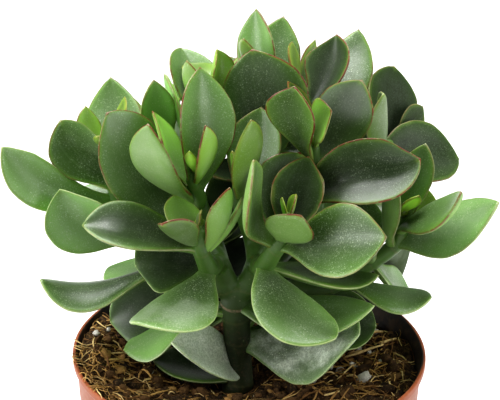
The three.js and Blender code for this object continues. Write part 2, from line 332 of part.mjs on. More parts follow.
  { name: 'rear_right_tip', at: [48.914, 33, 159.37], dir: [0.449, 0.892, 0.046], stemR: 1.5, leaves: [
    { kind: 'small', v: [49.107, 33, 159.187, 58.676, 45.972, 165.83, -0.389, -0.371, 0.843, 1.3423, 11.3537, -0.0517, 0.0049, 0.0129, 0.1944, 0.2476, 0.9243, 0.8878, 1.6632] },
  ] },
  { name: 'far_right_leaves_1', at: [27.03, 9, 114.896], dir: [0.946, 0.161, 0.283], stemR: 3.2, leaves: [
    { kind: 'full', v: [27.506, 9, 115.654, 60.133, -6.505, 118.706, 0.049, -0.004, 0.999, -0.0669, 19.3317, -0.0878, 0.5, 0.0465, -0.0269, 0.45, 1.2743, 0.204, 3.0347] },
    { kind: 'back', v: [27.03, 9, 114.896, 10.194, 35.74, 138.469, 0.319, -0.506, 0.802, -0.1009, 22.824, 0.0435, -0.0627, 0.0175, 0.3034, -0.0625, 0.9726, 0.3527, 3.1] },
  ] },
  { name: 'far_right_leaves_2', at: [40.757, 11, 122.856], dir: [0.834, 0.117, 0.539], stemR: 3, leaves: [
    { kind: 'full', v: [40.846, 11, 122.791, 55.967, 26.986, 103.437, 0.468, 0.468, 0.75, 0.77, 14.9185, -0.223, 0.147, 0.0967, 0.2594, -0.1277, 1.1821, 0.3437, 2.9695] },
    { kind: 'back', v: [40.757, 11, 122.856, 26.575, -11.713, 149.291, 0.372, 0.596, 0.712, 0.1302, 21.9493, 0.0024, 0.1241, -0.041, 0.1627, 0.0325, 1.0931, 0.2745, 3.0347] },
  ] },
  { name: 'far_right_leaves_3', at: [48.375, 12, 128.527], dir: [0.674, 0.068, 0.736], stemR: 2.6, leaves: [
    { kind: 'full', v: [48.962, 12, 129.979, 81.289, 0.728, 150.455, -0.427, -0.012, 0.904, 0.3257, 23.8528, -0.2849, -0.0019, 0.0154, -0.0337, -0.45, 0.937, 0.8, 3.1] },
    { kind: 'full', v: [48.189, 12, 128.288, 45.893, 3.357, 160.399, 1, 0, 0, 0.1474, 19.1352, -0.2053, -0.1276, -0.006, 0.1991, 0.1179, 1.0051, 0.3191, 3.1] },
    { kind: 'full', v: [48.068, 12, 128.825, 52.696, 36.79, 103.761, 0.151, 0.744, 0.652, -0.7582, 18.9787, 0.2699, 0.0051, -0.1449, 0.3566, -0.0425, 0.982, 0.3206, 2.9042] },
    { kind: 'small', v: [48.375, 12, 128.527, 59.628, 30.702, 142.015, -0.271, -0.45, 0.851, 0.3232, 14.9671, -0.2402, 0.0021, 0.1497, 0.2502, 0.0056, 0.9324, 0.588, 1.8758] },
  ] },
  { name: 'far_right_leaves_4', at: [50.531, 12, 133.431], dir: [0.364, -0.003, 0.931], stemR: 2.2, leaves: [
    { kind: 'full', v: [50.693, 12, 133.217, 57.549, 15.862, 164.546, -0.936, -0.28, 0.212, 0.7163, 12.8771, -0.0806, 0.0829, -0.0491, 0.3572, 0.1552, 1.1591, 0.427, 3.1] },
    { kind: 'full', v: [49.976, 12, 134.174, 67.765, -7.5, 157.639, -0.613, 0.335, 0.716, 0.2932, 17.9518, -0.2401, 0.4511, 0.0483, 0.1076, 0.0566, 0.9571, 0.3936, 2.9695] },
  ] },
  { name: 'far_right_tip', at: [52.641, 12, 139.048], dir: [0.35, 0, 0.937], stemR: 1.5, leaves: [
    { kind: 'small', v: [50.684, 12, 140.211, 55.472, 5.203, 150.434, -0.654, -0.504, 0.564, 1.5112, 5.6945, 0.3, 0.1704, -0.0205, 0.2679, 0.1882, 1.1867, 0.7495, 1.4737] },
  ] },
  { name: 'back_left_leaves_1', at: [-16, 24, 120], dir: [-0.465, 0.73, 0.5], stemR: 3.1, leaves: [
    { kind: 'back', v: [-16, 24, 120, -6.447, 58.875, 127.51, -0.031, -0.176, 0.984, -0.2705, 28.5923, -0.3638, 0.0769, 0.1005, 0.0806, -0.0307, 0.8572, 0.2018, 3.1] },
    { kind: 'back', v: [-16, 24, 120, -3.963, 26.688, 151.019, -0.907, -0.203, 0.369, 0.6444, 19.3261, -0.244, -0.1698, -0.0148, 0.297, -0.1543, 1.0367, 0.3604, 3.1] },
  ] },
  { name: 'back_left_leaves_2', at: [-24, 35, 131], dir: [-0.442, 0.566, 0.696], stemR: 2.8, leaves: [
    { kind: 'back', v: [-24, 35, 131, -23.773, 72.487, 150.52, -0.003, -0.462, 0.887, -0.0439, 24.3026, -0.3399, 0.041, 0.0321, 0.2181, 0.0422, 0.9418, 0.3709, 3.1] },
    { kind: 'back', v: [-24, 35, 131, -64.04, 41.768, 132.121, 0.027, -0.005, 1, -0.1167, 23.3586, -0.1967, -0.0932, -0.0433, 0.3317, 0.2553, 0.9219, 0.343, 3.1] },
  ] },
  { name: 'back_left_leaves_3', at: [-30, 42, 142], dir: [-0.366, 0.445, 0.818], stemR: 2.3, leaves: [
    { kind: 'back', v: [-30, 42, 142, -51.329, 63.434, 160.477, 0.368, -0.37, 0.853, 0.1516, 20.8453, -0.1099, 0.008, 0.0806, 0.2143, 0.2474, 0.9014, 0.4366, 2.9695] },
    { kind: 'back', v: [-30, 42, 142, -62.403, 37.456, 144.241, 0.068, 0.009, 0.998, -0.415, 19.2921, -0.3257, -0.0314, -0.0034, 0.3102, 0.0766, 0.9355, 0.4343, 2.9695] },
  ] },
  { name: 'back_left_tip', at: [-33, 46, 151], dir: [-0.286, 0.384, 0.878], stemR: 1.5, leaves: [
    { kind: 'small', v: [-33, 46, 151, -50.23, 53.172, 168.153, 0.625, -0.26, 0.736, 0.0267, 13.7305, -0.0105, 0.0835, -0.0061, 0.1296, 0.0569, 1.0122, 0.5143, 1.8758] },
    { kind: 'small', v: [-33, 46, 151, -21.647, 49.401, 173.622, -0.849, -0.254, 0.464, -0.0278, 13.8335, 0.1904, 0.0058, 0.0253, 0.2969, 0.046, 1.0726, 0.253, 1.8758] },
  ] },
  { name: 'back_right_leaves_1', at: [14, 26, 122], dir: [0.56, 0.698, 0.447], stemR: 3.1, leaves: [
    { kind: 'back', v: [14, 26, 122, 5.818, 62.789, 137.16, 0.081, -0.364, 0.928, 0.2132, 23.5187, -0.1744, 0.1325, 0.0306, 0.2283, 0.0342, 1.0099, 0.5338, 3.1] },
    { kind: 'back', v: [14, 26, 122, 41.471, 53.685, 118.049, 0.071, 0.072, 0.995, 0.175, 22.6955, -0.3406, 0.0135, 0.0634, 0.1731, -0.1072, 0.9403, 0.5526, 3.1] },
  ] },
  { name: 'back_right_leaves_2', at: [24, 38, 133], dir: [0.458, 0.579, 0.675], stemR: 2.8, leaves: [
    { kind: 'back', v: [24, 38, 133, 16.107, 71.62, 159.125, 0.138, -0.587, 0.798, 0.1453, 24.8988, -0.2672, 0.0309, -0.0684, 0.135, 0.0234, 1.0663, 0.5202, 3.1] },
    { kind: 'back', v: [24, 38, 133, 54.75, 61.502, 119.218, 0.267, 0.204, 0.942, -0.1216, 23.623, 0.0262, 0.0193, -0.0069, 0.277, 0.0581, 0.9894, 0.3841, 3.1] },
  ] },
  { name: 'back_right_leaves_3', at: [29, 45, 144], dir: [0.294, 0.422, 0.857], stemR: 2.3, leaves: [
    { kind: 'back', v: [29, 45, 144, 41.934, 70.378, 167.503, -0.289, -0.567, 0.771, -0.2969, 21.7225, 0.0082, -0.0127, 0.0824, 0.1696, 0.0875, 1.0549, 0.4458, 2.9695] },
    { kind: 'back', v: [29, 45, 144, 38.72, 12.56, 128.336, 0.12, -0.402, 0.908, -0.2834, 21.9484, -0.2328, 0.0425, -0.0219, 0.2714, 0.051, 1.0919, 0.4605, 2.9695] },
  ] },
  { name: 'back_right_tip', at: [31, 48, 153], dir: [0.199, 0.301, 0.933], stemR: 1.5, leaves: [
    { kind: 'small', v: [31, 48, 153, 42.452, 47.131, 176.683, -0.897, 0.068, 0.436, 0.1628, 14.257, 0.0269, 0.1098, -0.0223, 0.2721, 0.0944, 1.0332, 0.2685, 1.8758] },
    { kind: 'small', v: [31, 48, 153, 32.368, 68.676, 167.577, -0.038, -0.574, 0.818, -0.3081, 13.7232, -0.1259, 0.0336, 0.0519, 0.1065, 0.3068, 1.0436, 0.3005, 1.8758] },
  ] },
  { name: 'back_centre_leaves_2', at: [-4, 46, 146], dir: [0.082, 0.659, 0.747], stemR: 2.4, leaves: [
    { kind: 'back', v: [-4, 46, 146, -8.551, 70.082, 173.877, 0.139, -0.738, 0.66, -0.4508, 21.6524, -0.1387, 0.0447, 0.04, 0.3479, 0.1272, 1.055, 0.205, 3.0347] },
    { kind: 'back', v: [-4, 46, 146, 4.875, 80.614, 137.143, 0.06, 0.233, 0.971, -0.3275, 21.4753, -0.3071, 0.0257, -0.0112, 0.1222, -0.0211, 1.0381, 0.2419, 3.0347] },
  ] },
  { name: 'back_centre_tip', at: [-5, 51, 157], dir: [-0.096, 0.39, 0.916], stemR: 1.5, leaves: [
    { kind: 'small', v: [-5, 51, 157, -0.932, 63.975, 179.731, -0.257, -0.819, 0.513, -0.3068, 14.2626, -0.0104, 0.0545, -0.0278, 0.1862, -0.0932, 0.9595, 0.3927, 1.9221] },
    { kind: 'small', v: [-5, 51, 157, -22.289, 35.718, 156.891, -0.004, -0.003, 1, -0.1424, 12.425, -0.3392, 0.0876, 0.1287, 0.1992, -0.1183, 0.947, 0.3055, 1.9221] },
  ] },
];

// soft mounds and hollows of the soil: [height, x, y, spread x, spread y]
const SOIL_FORM = [
  [9.5, -57, -7, 12, 14],
  [10, -55, 24, 9, 11],
  [6, -46, -33, 12, 10],
  [-5.8, -5, 0.5, 10, 9],
  [-2.2, -18, 0, 12, 8],
  [5.5, 52, 20, 10, 10],
  [2.5, 52, -8, 9, 14],
  [1.5, 36, -20, 14, 14],
  [1, 20, -40, 16, 12],
  [-1, -20, 38, 16, 12]
];

// ------------------------------------------------------------------- helpers
const wasm = await Module();
wasm.setup();

// Manifold solid of a closed three.js geometry
function solid(geometry) {
  const g = geometry.clone();
  g.deleteAttribute('normal');
  g.deleteAttribute('uv');
  const m = mergeVertices(g, 1e-4);
  const p = m.attributes.position;
  const idx = m.index.array;
  const tris = [];
  for (let i = 0; i < idx.length; i += 3) {
    const [a, b, c] = [idx[i], idx[i + 1], idx[i + 2]];
    if (a !== b && b !== c && a !== c) tris.push(a, b, c);
  }
  let vol = 0;
  const A = new THREE.Vector3(), B = new THREE.Vector3(), C = new THREE.Vector3();
  for (let i = 0; i < tris.length; i += 3) {
    A.fromBufferAttribute(p, tris[i]);
    B.fromBufferAttribute(p, tris[i + 1]);
    C.fromBufferAttribute(p, tris[i + 2]);
    vol += A.dot(B.cross(C));
  }
  if (vol < 0) for (let i = 0; i < tris.length; i += 3) [tris[i + 1], tris[i + 2]] = [tris[i + 2], tris[i + 1]];
  return new wasm.Manifold(new wasm.Mesh({
    numProp: 3,
    vertProperties: new Float32Array(p.array),
    triVerts: new Uint32Array(tris),
  }));
}

function geometryOf(man) {
  const mesh = man.getMesh();
  const g = new THREE.BufferGeometry();
  const n = mesh.vertProperties.length / mesh.numProp;
  const pos = new Float32Array(n * 3);
  for (let i = 0; i < n; i++) for (let k = 0; k < 3; k++) pos[3 * i + k] = mesh.vertProperties[i * mesh.numProp + k];
  g.setAttribute('position', new THREE.BufferAttribute(pos, 3));
  g.setIndex(new THREE.BufferAttribute(new Uint32Array(mesh.triVerts), 1));
  g.computeVertexNormals();
  return g;
}

// the largest body of a solid, without crumbs left by a cut
function mainBody(man) {
  const bodies = man.decompose();
  bodies.sort((a, b) => b.volume() - a.volume());
  return bodies[0];
}

// A closed lathe cylinder with one ring per station, each of its points moved
// by place(ring, angle, onAxis).
function drawn(rings, sides, place) {
  const pts = [new THREE.Vector2(0, 0)];
  for (let i = 0; i < rings; i++) pts.push(new THREE.Vector2(1, i));
  pts.push(new THREE.Vector2(0, rings - 1));
  const g = new THREE.LatheGeometry(pts, sides);
  const p = g.attributes.position;
  for (let i = 0; i < p.count; i++) {
    const x = p.getX(i), y = p.getY(i), z = p.getZ(i);
    const axis = Math.hypot(x, z) < 0.5;
    const v = place(Math.round(y), Math.atan2(x, z), axis);
    p.setXYZ(i, v.x, v.y, v.z);
  }
  return g;
}

// shape-preserving cubic through a table
function smoothTable(xs, ys) {
  const n = xs.length, h = [], s = [], d = new Array(n).fill(0);
  for (let i = 0; i < n - 1; i++) { h.push(xs[i + 1] - xs[i]); s.push((ys[i + 1] - ys[i]) / h[i]); }
  for (let i = 1; i < n - 1; i++) {
    if (s[i - 1] * s[i] > 0) {
      const a = 2 * h[i] + h[i - 1], b = h[i] + 2 * h[i - 1];
      d[i] = (a + b) / (a / s[i - 1] + b / s[i]);
    }
  }
  const end = (h0, h1, s0, s1) => {
    let e = ((2 * h0 + h1) * s0 - h0 * s1) / (h0 + h1);
    if (Math.sign(e) !== Math.sign(s0)) e = 0;
    else if (Math.sign(s0) !== Math.sign(s1) && Math.abs(e) > 3 * Math.abs(s0)) e = 3 * s0;
    return e;
  };
  d[0] = end(h[0], h[1], s[0], s[1]);
  d[n - 1] = end(h[n - 2], h[n - 3], s[n - 2], s[n - 3]);
  return (x) => {
    let i = 0;
    while (i < n - 2 && x > xs[i + 1]) i++;
    const t = (x - xs[i]) / h[i], t2 = t * t, t3 = t2 * t;
    return ys[i] * (2 * t3 - 3 * t2 + 1) + h[i] * d[i] * (t3 - 2 * t2 + t)
      + ys[i + 1] * (-2 * t3 + 3 * t2) + h[i] * d[i + 1] * (t3 - t2);
  };
}
const blunt = smoothTable(OUT_S, OUT_BLUNT);
const pointed = smoothTable(OUT_S, OUT_POINTED);
const thick = smoothTable(THICK_S, THICK_V);

// -------------------------------------------------------------------- leaves
function leafSolid({ kind, v }, grow) {
  const base = new THREE.Vector3(v[0], v[1], v[2]);
  const tip = new THREE.Vector3(v[3], v[4], v[5]);
  const up = new THREE.Vector3(v[6], v[7], v[8]);
  const [roll, width, arch, arch2, bend, fold, twist, power, point, th] = v.slice(9);
  const len = tip.distanceTo(base);
  const d = tip.clone().sub(base).normalize();
  const n = up.clone().addScaledVector(d, -up.dot(d)).normalize();
  const b = new THREE.Vector3().crossVectors(d, n);
  const stations = STATIONS[kind];
  const ep = 0.35;
  const at = (s) => {
    const c = base.clone()
      .addScaledVector(d, len * s)
      .addScaledVector(n, len * (arch * s * (1 - s) + arch2 * s * (1 - s) * (1 - 2 * s)))
      .addScaledVector(b, len * bend * s * (1 - s));
    const t = d.clone()
      .addScaledVector(n, arch * (1 - 2 * s) + arch2 * (1 - 6 * s + 6 * s * s))
      .addScaledVector(b, bend * (1 - 2 * s)).normalize();
    const ns = n.clone().addScaledVector(t, -n.dot(t)).normalize();
    const bs = new THREE.Vector3().crossVectors(t, ns);
    const r = roll + twist * (s - 0.5);
    const N = ns.clone().multiplyScalar(Math.cos(r)).addScaledVector(bs, Math.sin(r));
    const X = ns.clone().multiplyScalar(-Math.sin(r)).addScaledVector(bs, Math.cos(r));
    const sm = Math.pow(s, power);
    const w = 0.5 * width * ((1 - point) * blunt(sm) + point * pointed(sm));
    return { c, N, X, w: w + grow, th: th * thick(s) + 2 * grow };
  };
  const rows = stations.map(at);
  const place = (ring, angle, axis) => {
    if (axis) return ring === 0 ? rows[0].c : tip.clone().addScaledVector(d, grow);
    const q = rows[ring];
    const ct = Math.cos(angle), st = Math.sin(angle), e = 2 / SECTION_POWER;
    const x = Math.sign(ct) * Math.pow(Math.abs(ct), e);
    let y = Math.abs(st) < 1e-9 ? 0 : Math.sign(st) * Math.pow(Math.abs(st), e);
    const lift = (Math.sqrt(x * x + ep * ep) - ep) / (Math.sqrt(1 + ep * ep) - ep);
    y = 0.5 * q.th * (y > 0 ? CROWN_SHARE * y : (2 - CROWN_SHARE) * y);
    return q.c.clone()
      .addScaledVector(q.X, q.w * x * Math.cos(fold))
      .addScaledVector(q.N, q.w * lift * Math.sin(fold) + y);
  };
  return solid(drawn(stations.length, LEAF_SIDES, place));
}

// --------------------------------------------------------------------- stems
// ring frames of a branch, one per control point
function branchFrames(points) {
  const P = points.map((p) => new THREE.Vector3(p[0], p[1], p[2]));
  const n = P.length;
  let u = new THREE.Vector3(0.9, 0.31, 0.17);
  return P.map((p, i) => {
    const t = P[Math.min(i + 1, n - 1)].clone().sub(P[Math.max(i - 1, 0)]).normalize();
    u = u.clone().addScaledVector(t, -u.dot(t)).normalize();
    return { p, t, u, w: new THREE.Vector3().crossVectors(t, u), r: points[i][3] };
  });
}
function branchSolid(points, grow) {
  const F = branchFrames(points);
  const last = F.length - 1;
  const at = (i) => (i === 0 ? F[0].p.clone().addScaledVector(F[0].t, -grow)
    : i === last ? F[i].p.clone().addScaledVector(F[i].t, grow) : F[i].p.clone());
  return solid(drawn(F.length, STEM_SIDES, (i, a, axis) => (axis ? at(i)
    : at(i).addScaledVector(F[i].u, (F[i].r + grow) * Math.cos(a)).addScaledVector(F[i].w, (F[i].r + grow) * Math.sin(a)))));
}
function stemSolid(grow) {
  let s = null;
  for (const pts of Object.values(BRANCHES)) {
    const b = branchSolid(pts, grow);
    s = s ? s.add(b) : b;
  }
  return s;
}
const stem = mainBody(stemSolid(0));
const stemClear = stemSolid(LEAF_GAP);

// collar that joins the leaf bases round the stem, or the bud at a shoot tip
function collarSolid(node, tipBud, grow) {
  const at = new THREE.Vector3(...node.at);
  if (tipBud) {
    const q = new THREE.Quaternion().setFromUnitVectors(new THREE.Vector3(0, 1, 0), new THREE.Vector3(...node.dir).normalize());
    const R = 2.2 + grow;
    return solid(new THREE.LatheGeometry([[0, -1.6 - grow], [R, 0.2], [R * 0.6, 2.2], [0, 3.2 + grow]].map((p) => new THREE.Vector2(p[0], p[1])), 6)
      .applyMatrix4(new THREE.Matrix4().compose(at, q, new THREE.Vector3(1, 1, 1))));
  }
  let best = null;
  for (const f of Object.values(BRANCHES).flatMap(branchFrames)) {
    const dist = f.p.distanceTo(at);
    if (!best || dist < best.dist - 1e-6) best = { dist, f };
  }
  const { p, t, u, w } = best.f;
  const R = node.stemR + 1.5 + grow;
  const h = 1 + 0.3 * node.stemR + grow;        // leaves rise as they leave the stem,
  const mid = 0.3 * node.stemR;                  // so the collar sits a little above the node
  return solid(drawn(2, STEM_SIDES, (i, a, axis) => {
    const c = p.clone().addScaledVector(t, mid + (i === 0 ? -h : h));
    return axis ? c : c.addScaledVector(u, R * Math.cos(a)).addScaledVector(w, R * Math.sin(a));
  }));
}

// all leaves of a node with their collar or bud, before they clasp the stem
function nodeSolid(node, grow) {
  let s = null;
  for (const leaf of node.leaves) {
    const l = leafSolid(leaf, grow);
    s = s ? s.add(l) : l;
  }
  const tip = node.name.endsWith('_tip');
  if (tip || node.leaves.length > 1) s = s.add(collarSolid(node, tip, grow));
  return s;
}

// ------------------------------------------------------------------ the soil
function soilHeight(x, y) {
  let z = SOIL_TOP + Math.sin(x * 0.13 + 1) * Math.cos(y * 0.11);
  for (const [a, cx, cy, sx, sy] of SOIL_FORM) z += a * Math.exp(-(((x - cx) ** 2) / (2 * sx * sx) + ((y - cy) ** 2) / (2 * sy * sy)));
  const t = Math.min(1, Math.max(0, (Math.hypot(x, y) - 50) / 7));
  return Math.min(SOIL_MAX, z - 1.8 * t * t * (3 - 2 * t));
}

const potInside = [          // radius and height of the pot's inner wall
  [41.0, FLOOR_Z], [53.7, 78], [56.7, 80.2], [57.6, 92],
];
function innerR(z) {
  for (let i = 0; i < potInside.length - 1; i++) {
    const [r0, z0] = potInside[i], [r1, z1] = potInside[i + 1];
    if (z <= z1) return r0 + (r1 - r0) * (z - z0) / (z1 - z0);
  }
  return potInside[3][0];
}

function soilSolid() {
  const prof = [[0, 2.0], [13.2, 2.0], [15.6, FLOOR_Z + SOIL_GAP], [40.6, FLOOR_Z + SOIL_GAP], [53.35, 78], [56.3, 80.4]];
  const pts = prof.map((p) => new THREE.Vector2(p[0], p[1]));
  const mark = 1000;          // rings of the upper surface, filled in below
  pts.push(new THREE.Vector2(56.4, mark));
  for (const r of [51.5, 43, 29, 14]) pts.push(new THREE.Vector2(r, mark));
  pts.push(new THREE.Vector2(0, mark));
  const g = new THREE.LatheGeometry(pts, POT_SIDES);
  g.rotateX(Math.PI / 2);
  const p = g.attributes.position;
  for (let i = 0; i < p.count; i++) {
    if (Math.abs(p.getZ(i)) > 500) {
      const x = p.getX(i), y = p.getY(i);
      const r = Math.hypot(x, y);
      let z = soilHeight(x, y);
      let k = 1;
      if (r > 55.5) { const lim = innerR(z) - SOIL_GAP; k = lim / r; z = Math.max(z, 80.9); }
      p.setXYZ(i, x * k, y * k, z);
    }
  }
  return solid(g);
}

// ------------------------------------------------------------------- the pot
function potSolid() {
  const prof = [
    [0, 0], [BOSS_R, 0], [BOSS_R + 1.5, 2.6], [36, 2.6], [37, 0], [FOOT_R, 0], [FOOT_R + 1, 1],
    [54.9, POT_H - COLLAR_H - 1], [57.8, POT_H - COLLAR_H], [COLLAR_R, 91.8], [RIM_R, 92.8], [RIM_R, 94.6], [59.4, POT_H], [58.6, 94.7],
    [57.6, 92], [56.7, 80.2], [53.7, 78], [41.0, FLOOR_Z], [BOSS_R + 2.4, FLOOR_Z], [BOSS_R + 0.6, 1.6], [0, 1.6],
  ];
  const g = new THREE.LatheGeometry(prof.map((p) => new THREE.Vector2(p[0], p[1])), POT_SIDES);
  g.rotateX(Math.PI / 2);
  let pot = solid(g);
  for (let i = 0; i < DRAIN_N; i++) {
    const a = (i + 0.5) / DRAIN_N * 2 * Math.PI;
    const hole = new THREE.CylinderGeometry(DRAIN_R, DRAIN_R, 6, 6);
    hole.rotateX(Math.PI / 2);
    hole.translate(DRAIN_PCD / 2 * Math.cos(a), DRAIN_PCD / 2 * Math.sin(a), 3.4);
    pot = pot.subtract(solid(hole));
  }
  return pot;
}

// ---------------------------------------------------------------- assembling
const material = {
  pot: () => new THREE.MeshStandardMaterial({ color: 0xb9603a, roughness: 0.5, metalness: 0 }),
  soil: () => new THREE.MeshStandardMaterial({ color: 0x4a3421, roughness: 1, metalness: 0 }),
  stem: () => new THREE.MeshStandardMaterial({ color: 0x5f7442, roughness: 0.6, metalness: 0 }),
  leaf: () => new THREE.MeshStandardMaterial({ color: 0x4f7f33, roughness: 0.35, metalness: 0 }),
  young: () => new THREE.MeshStandardMaterial({ color: 0x86a83a, roughness: 0.35, metalness: 0 }),
};

const plant = new THREE.Group();
function addMesh(group, name, man, mat) {
  const mesh = new THREE.Mesh(geometryOf(man), mat);
  mesh.name = name;
  group.add(mesh);
}

const holder = new THREE.Group();
addMesh(holder, 'pot', potSolid(), material.pot());
const hollow = new THREE.CylinderGeometry(15, 7.7, 6, 12);   // at the foot of the stem
hollow.rotateX(Math.PI / 2);
hollow.translate(BRANCHES.trunk[2][0], BRANCHES.trunk[2][1], 79.4 + 3);
addMesh(holder, 'soil', mainBody(soilSolid().subtract(solid(hollow)).subtract(branchSolid(BRANCHES.trunk, SOIL_GAP))), material.soil());
plant.add(holder);

const growth = new THREE.Group();
addMesh(growth, 'plant_stem', stem, material.stem());
const pieces = LEAF_NODES.map((node) => nodeSolid(node, 0));
for (let i = 0; i < pieces.length; i++) {
  // a younger piece makes room for the older ones it is pressed against
  for (let k = 0; k < i; k++) {
    if (pieces[i].intersect(pieces[k]).volume() > 1e-4) pieces[i] = pieces[i].subtract(nodeSolid(LEAF_NODES[k], LEAF_GAP));
  }
  const tip = LEAF_NODES[i].name.endsWith('_tip');
  addMesh(growth, LEAF_NODES[i].name, mainBody(pieces[i].subtract(stemClear)), tip ? material.young() : material.leaf());
}
plant.add(growth);

export default plant;
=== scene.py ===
import math
import random

import bmesh
import bpy
import numpy as np
from mathutils import Matrix, Vector, noise


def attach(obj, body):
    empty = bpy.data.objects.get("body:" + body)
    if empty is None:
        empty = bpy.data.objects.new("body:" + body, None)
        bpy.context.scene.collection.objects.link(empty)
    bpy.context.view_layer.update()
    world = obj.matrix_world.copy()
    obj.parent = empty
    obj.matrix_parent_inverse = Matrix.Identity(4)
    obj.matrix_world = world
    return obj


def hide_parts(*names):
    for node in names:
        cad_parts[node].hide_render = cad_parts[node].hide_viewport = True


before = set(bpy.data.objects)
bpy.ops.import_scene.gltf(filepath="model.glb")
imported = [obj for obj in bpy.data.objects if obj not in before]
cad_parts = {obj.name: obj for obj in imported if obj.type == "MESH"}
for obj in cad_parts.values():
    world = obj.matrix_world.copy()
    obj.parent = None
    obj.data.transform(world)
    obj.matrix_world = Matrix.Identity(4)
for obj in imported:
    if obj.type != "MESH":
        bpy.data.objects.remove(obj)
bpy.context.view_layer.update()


MM = 0.001
SEED = 7

# ------------------------------------------------------------------ the tables
# centre line and radius of each branch in mm: x, y, z, r, and 1 at a leaf node
# or 2 at an old ring scar
BRANCHES = {
    "trunk": [(-3.76, 1.5, 64, 5.2, 0), (-3.76, 1, 80, 5.2, 1), (-3.76, 1, 82.342, 5, 1), (-4.29, 1, 98.231, 4.8, 1), (-4.727, 1, 106.636, 4.7, 1), (-5.122, 1, 111.563, 4.7, 2), (-4.196, 1, 118.739, 4.3, 0)],
    "left_limb": [(-4.705, 1, 114.792, 4.2, 0), (-7.204, 0.5, 118.187, 3.7, 1), (-10.272, -1, 127.086, 3.4, 0)],
    "right_limb": [(-4.705, 1, 114.792, 4.2, 0), (-1.164, 0.5, 118.293, 3.7, 1), (1.723, -1, 127.296, 3.4, 0)],
    "front_left": [(-10.272, -1, 127.086, 3.4, 0), (-12.489, -7, 129.619, 3.3, 1), (-13.716, -11, 130.096, 3.2, 1), (-16.301, -14, 138.42, 2.9, 1), (-16.942, -15, 142.489, 2.3, 1), (-16.052, -15, 146.013, 1.5, 0)],
    "front_right": [(1.723, -1, 127.296, 3.4, 0), (3.027, -7, 129.89, 3.3, 1), (4.006, -11, 130.772, 3.2, 1), (8.075, -15, 140.048, 2.9, 1), (10.55, -16, 145.591, 2.3, 1), (11.373, -16, 149.346, 1.5, 0)],
    "centre": [(1.723, -1, 127.296, 3.1, 0), (0.26, 7, 133.062, 2.9, 0), (-3.904, 3, 147.71, 2.6, 1), (-4.988, 2, 156.455, 1.6, 0)],
    "mid_left": [(-10.272, -1, 127.086, 3.3, 0), (-15.117, 5, 131.891, 3.2, 0), (-21.163, 5, 139.544, 3, 1), (-17.426, 1, 149.473, 2.6, 1), (-19.364, -1, 156.101, 2.2, 1), (-20.032, -1, 160.38, 1.5, 0)],
    "far_left": [(-4.566, 1, 115.869, 3.8, 0), (-15.323, 3, 117.917, 3.4, 0), (-28.829, 4, 121.317, 3.2, 1), (-35.592, 6, 132.913, 3, 1), (-45.096, 10, 144.551, 2.7, 1), (-45.449, 12, 153.896, 2.3, 1), (-44.747, 13, 162.541, 1.5, 0)],
    "upper_left": [(-10.272, -1, 127.086, 3.4, 0), (-13.257, 12, 130.453, 3.2, 0), (-21.627, 18, 154.612, 2.8, 1), (-16.089, 22, 167.588, 2.3, 1), (-15.829, 23, 176.204, 1.5, 0)],
    "top": [(1.723, -1, 127.296, 3.4, 0), (3.604, 13, 133.265, 3.2, 0), (5.372, 17, 148.166, 3, 0), (7.483, 18, 161.312, 2.8, 1), (16.972, 22, 172.844, 2.3, 1), (16.144, 24, 180.649, 1.5, 0)],
    "rear_top": [(5.372, 17, 148.166, 2.9, 0), (3.868, 26, 157.124, 2.6, 0), (3.645, 32, 170.039, 2.3, 1), (0.806, 33, 177.959, 1.5, 0)],
    "mid_right": [(1.723, -1, 127.296, 3.4, 0), (9.657, 5, 132.322, 3.2, 0), (20.015, 4, 145.116, 2.9, 1), (21.895, 8, 152.451, 2.7, 0), (20.331, 7, 160.457, 2.3, 1), (20.488, 7, 166.911, 1.6, 0)],
    "rear_right": [(20.015, 4, 145.116, 2.9, 0), (31.431, 16, 143.52, 2.8, 0), (42.501, 20, 150.058, 2.6, 1), (44.385, 24, 158.665, 2.3, 1), (48.914, 33, 159.37, 1.5, 0)],
    "far_right": [(-4.659, 1, 115.151, 3.7, 0), (11.722, 6, 114.239, 3.4, 0), (27.03, 9, 114.896, 3.2, 1), (40.757, 11, 122.856, 3, 1), (48.375, 12, 128.527, 2.6, 1), (50.531, 12, 133.431, 2.2, 1), (52.641, 12, 139.048, 1.5, 0)],
    "back_left": [(-4.566, 1, 115.869, 3.6, 0), (-10, 13, 116, 3.3, 0), (-16, 24, 120, 3.1, 1), (-24, 35, 131, 2.8, 1), (-30, 42, 142, 2.3, 1), (-33, 46, 151, 1.5, 0)],
    "back_right": [(-4.566, 1, 115.869, 3.6, 0), (4, 13, 117, 3.3, 0), (14, 26, 122, 3.1, 1), (24, 38, 133, 2.8, 1), (29, 45, 144, 2.3, 1), (31, 48, 153, 1.5, 0)],
    "back_centre": [(-13.257, 12, 130.453, 3, 0), (-7.791, 29, 132.409, 2.8, 0), (-4, 46, 146, 2.4, 1), (-5, 51, 157, 1.5, 0)],
}
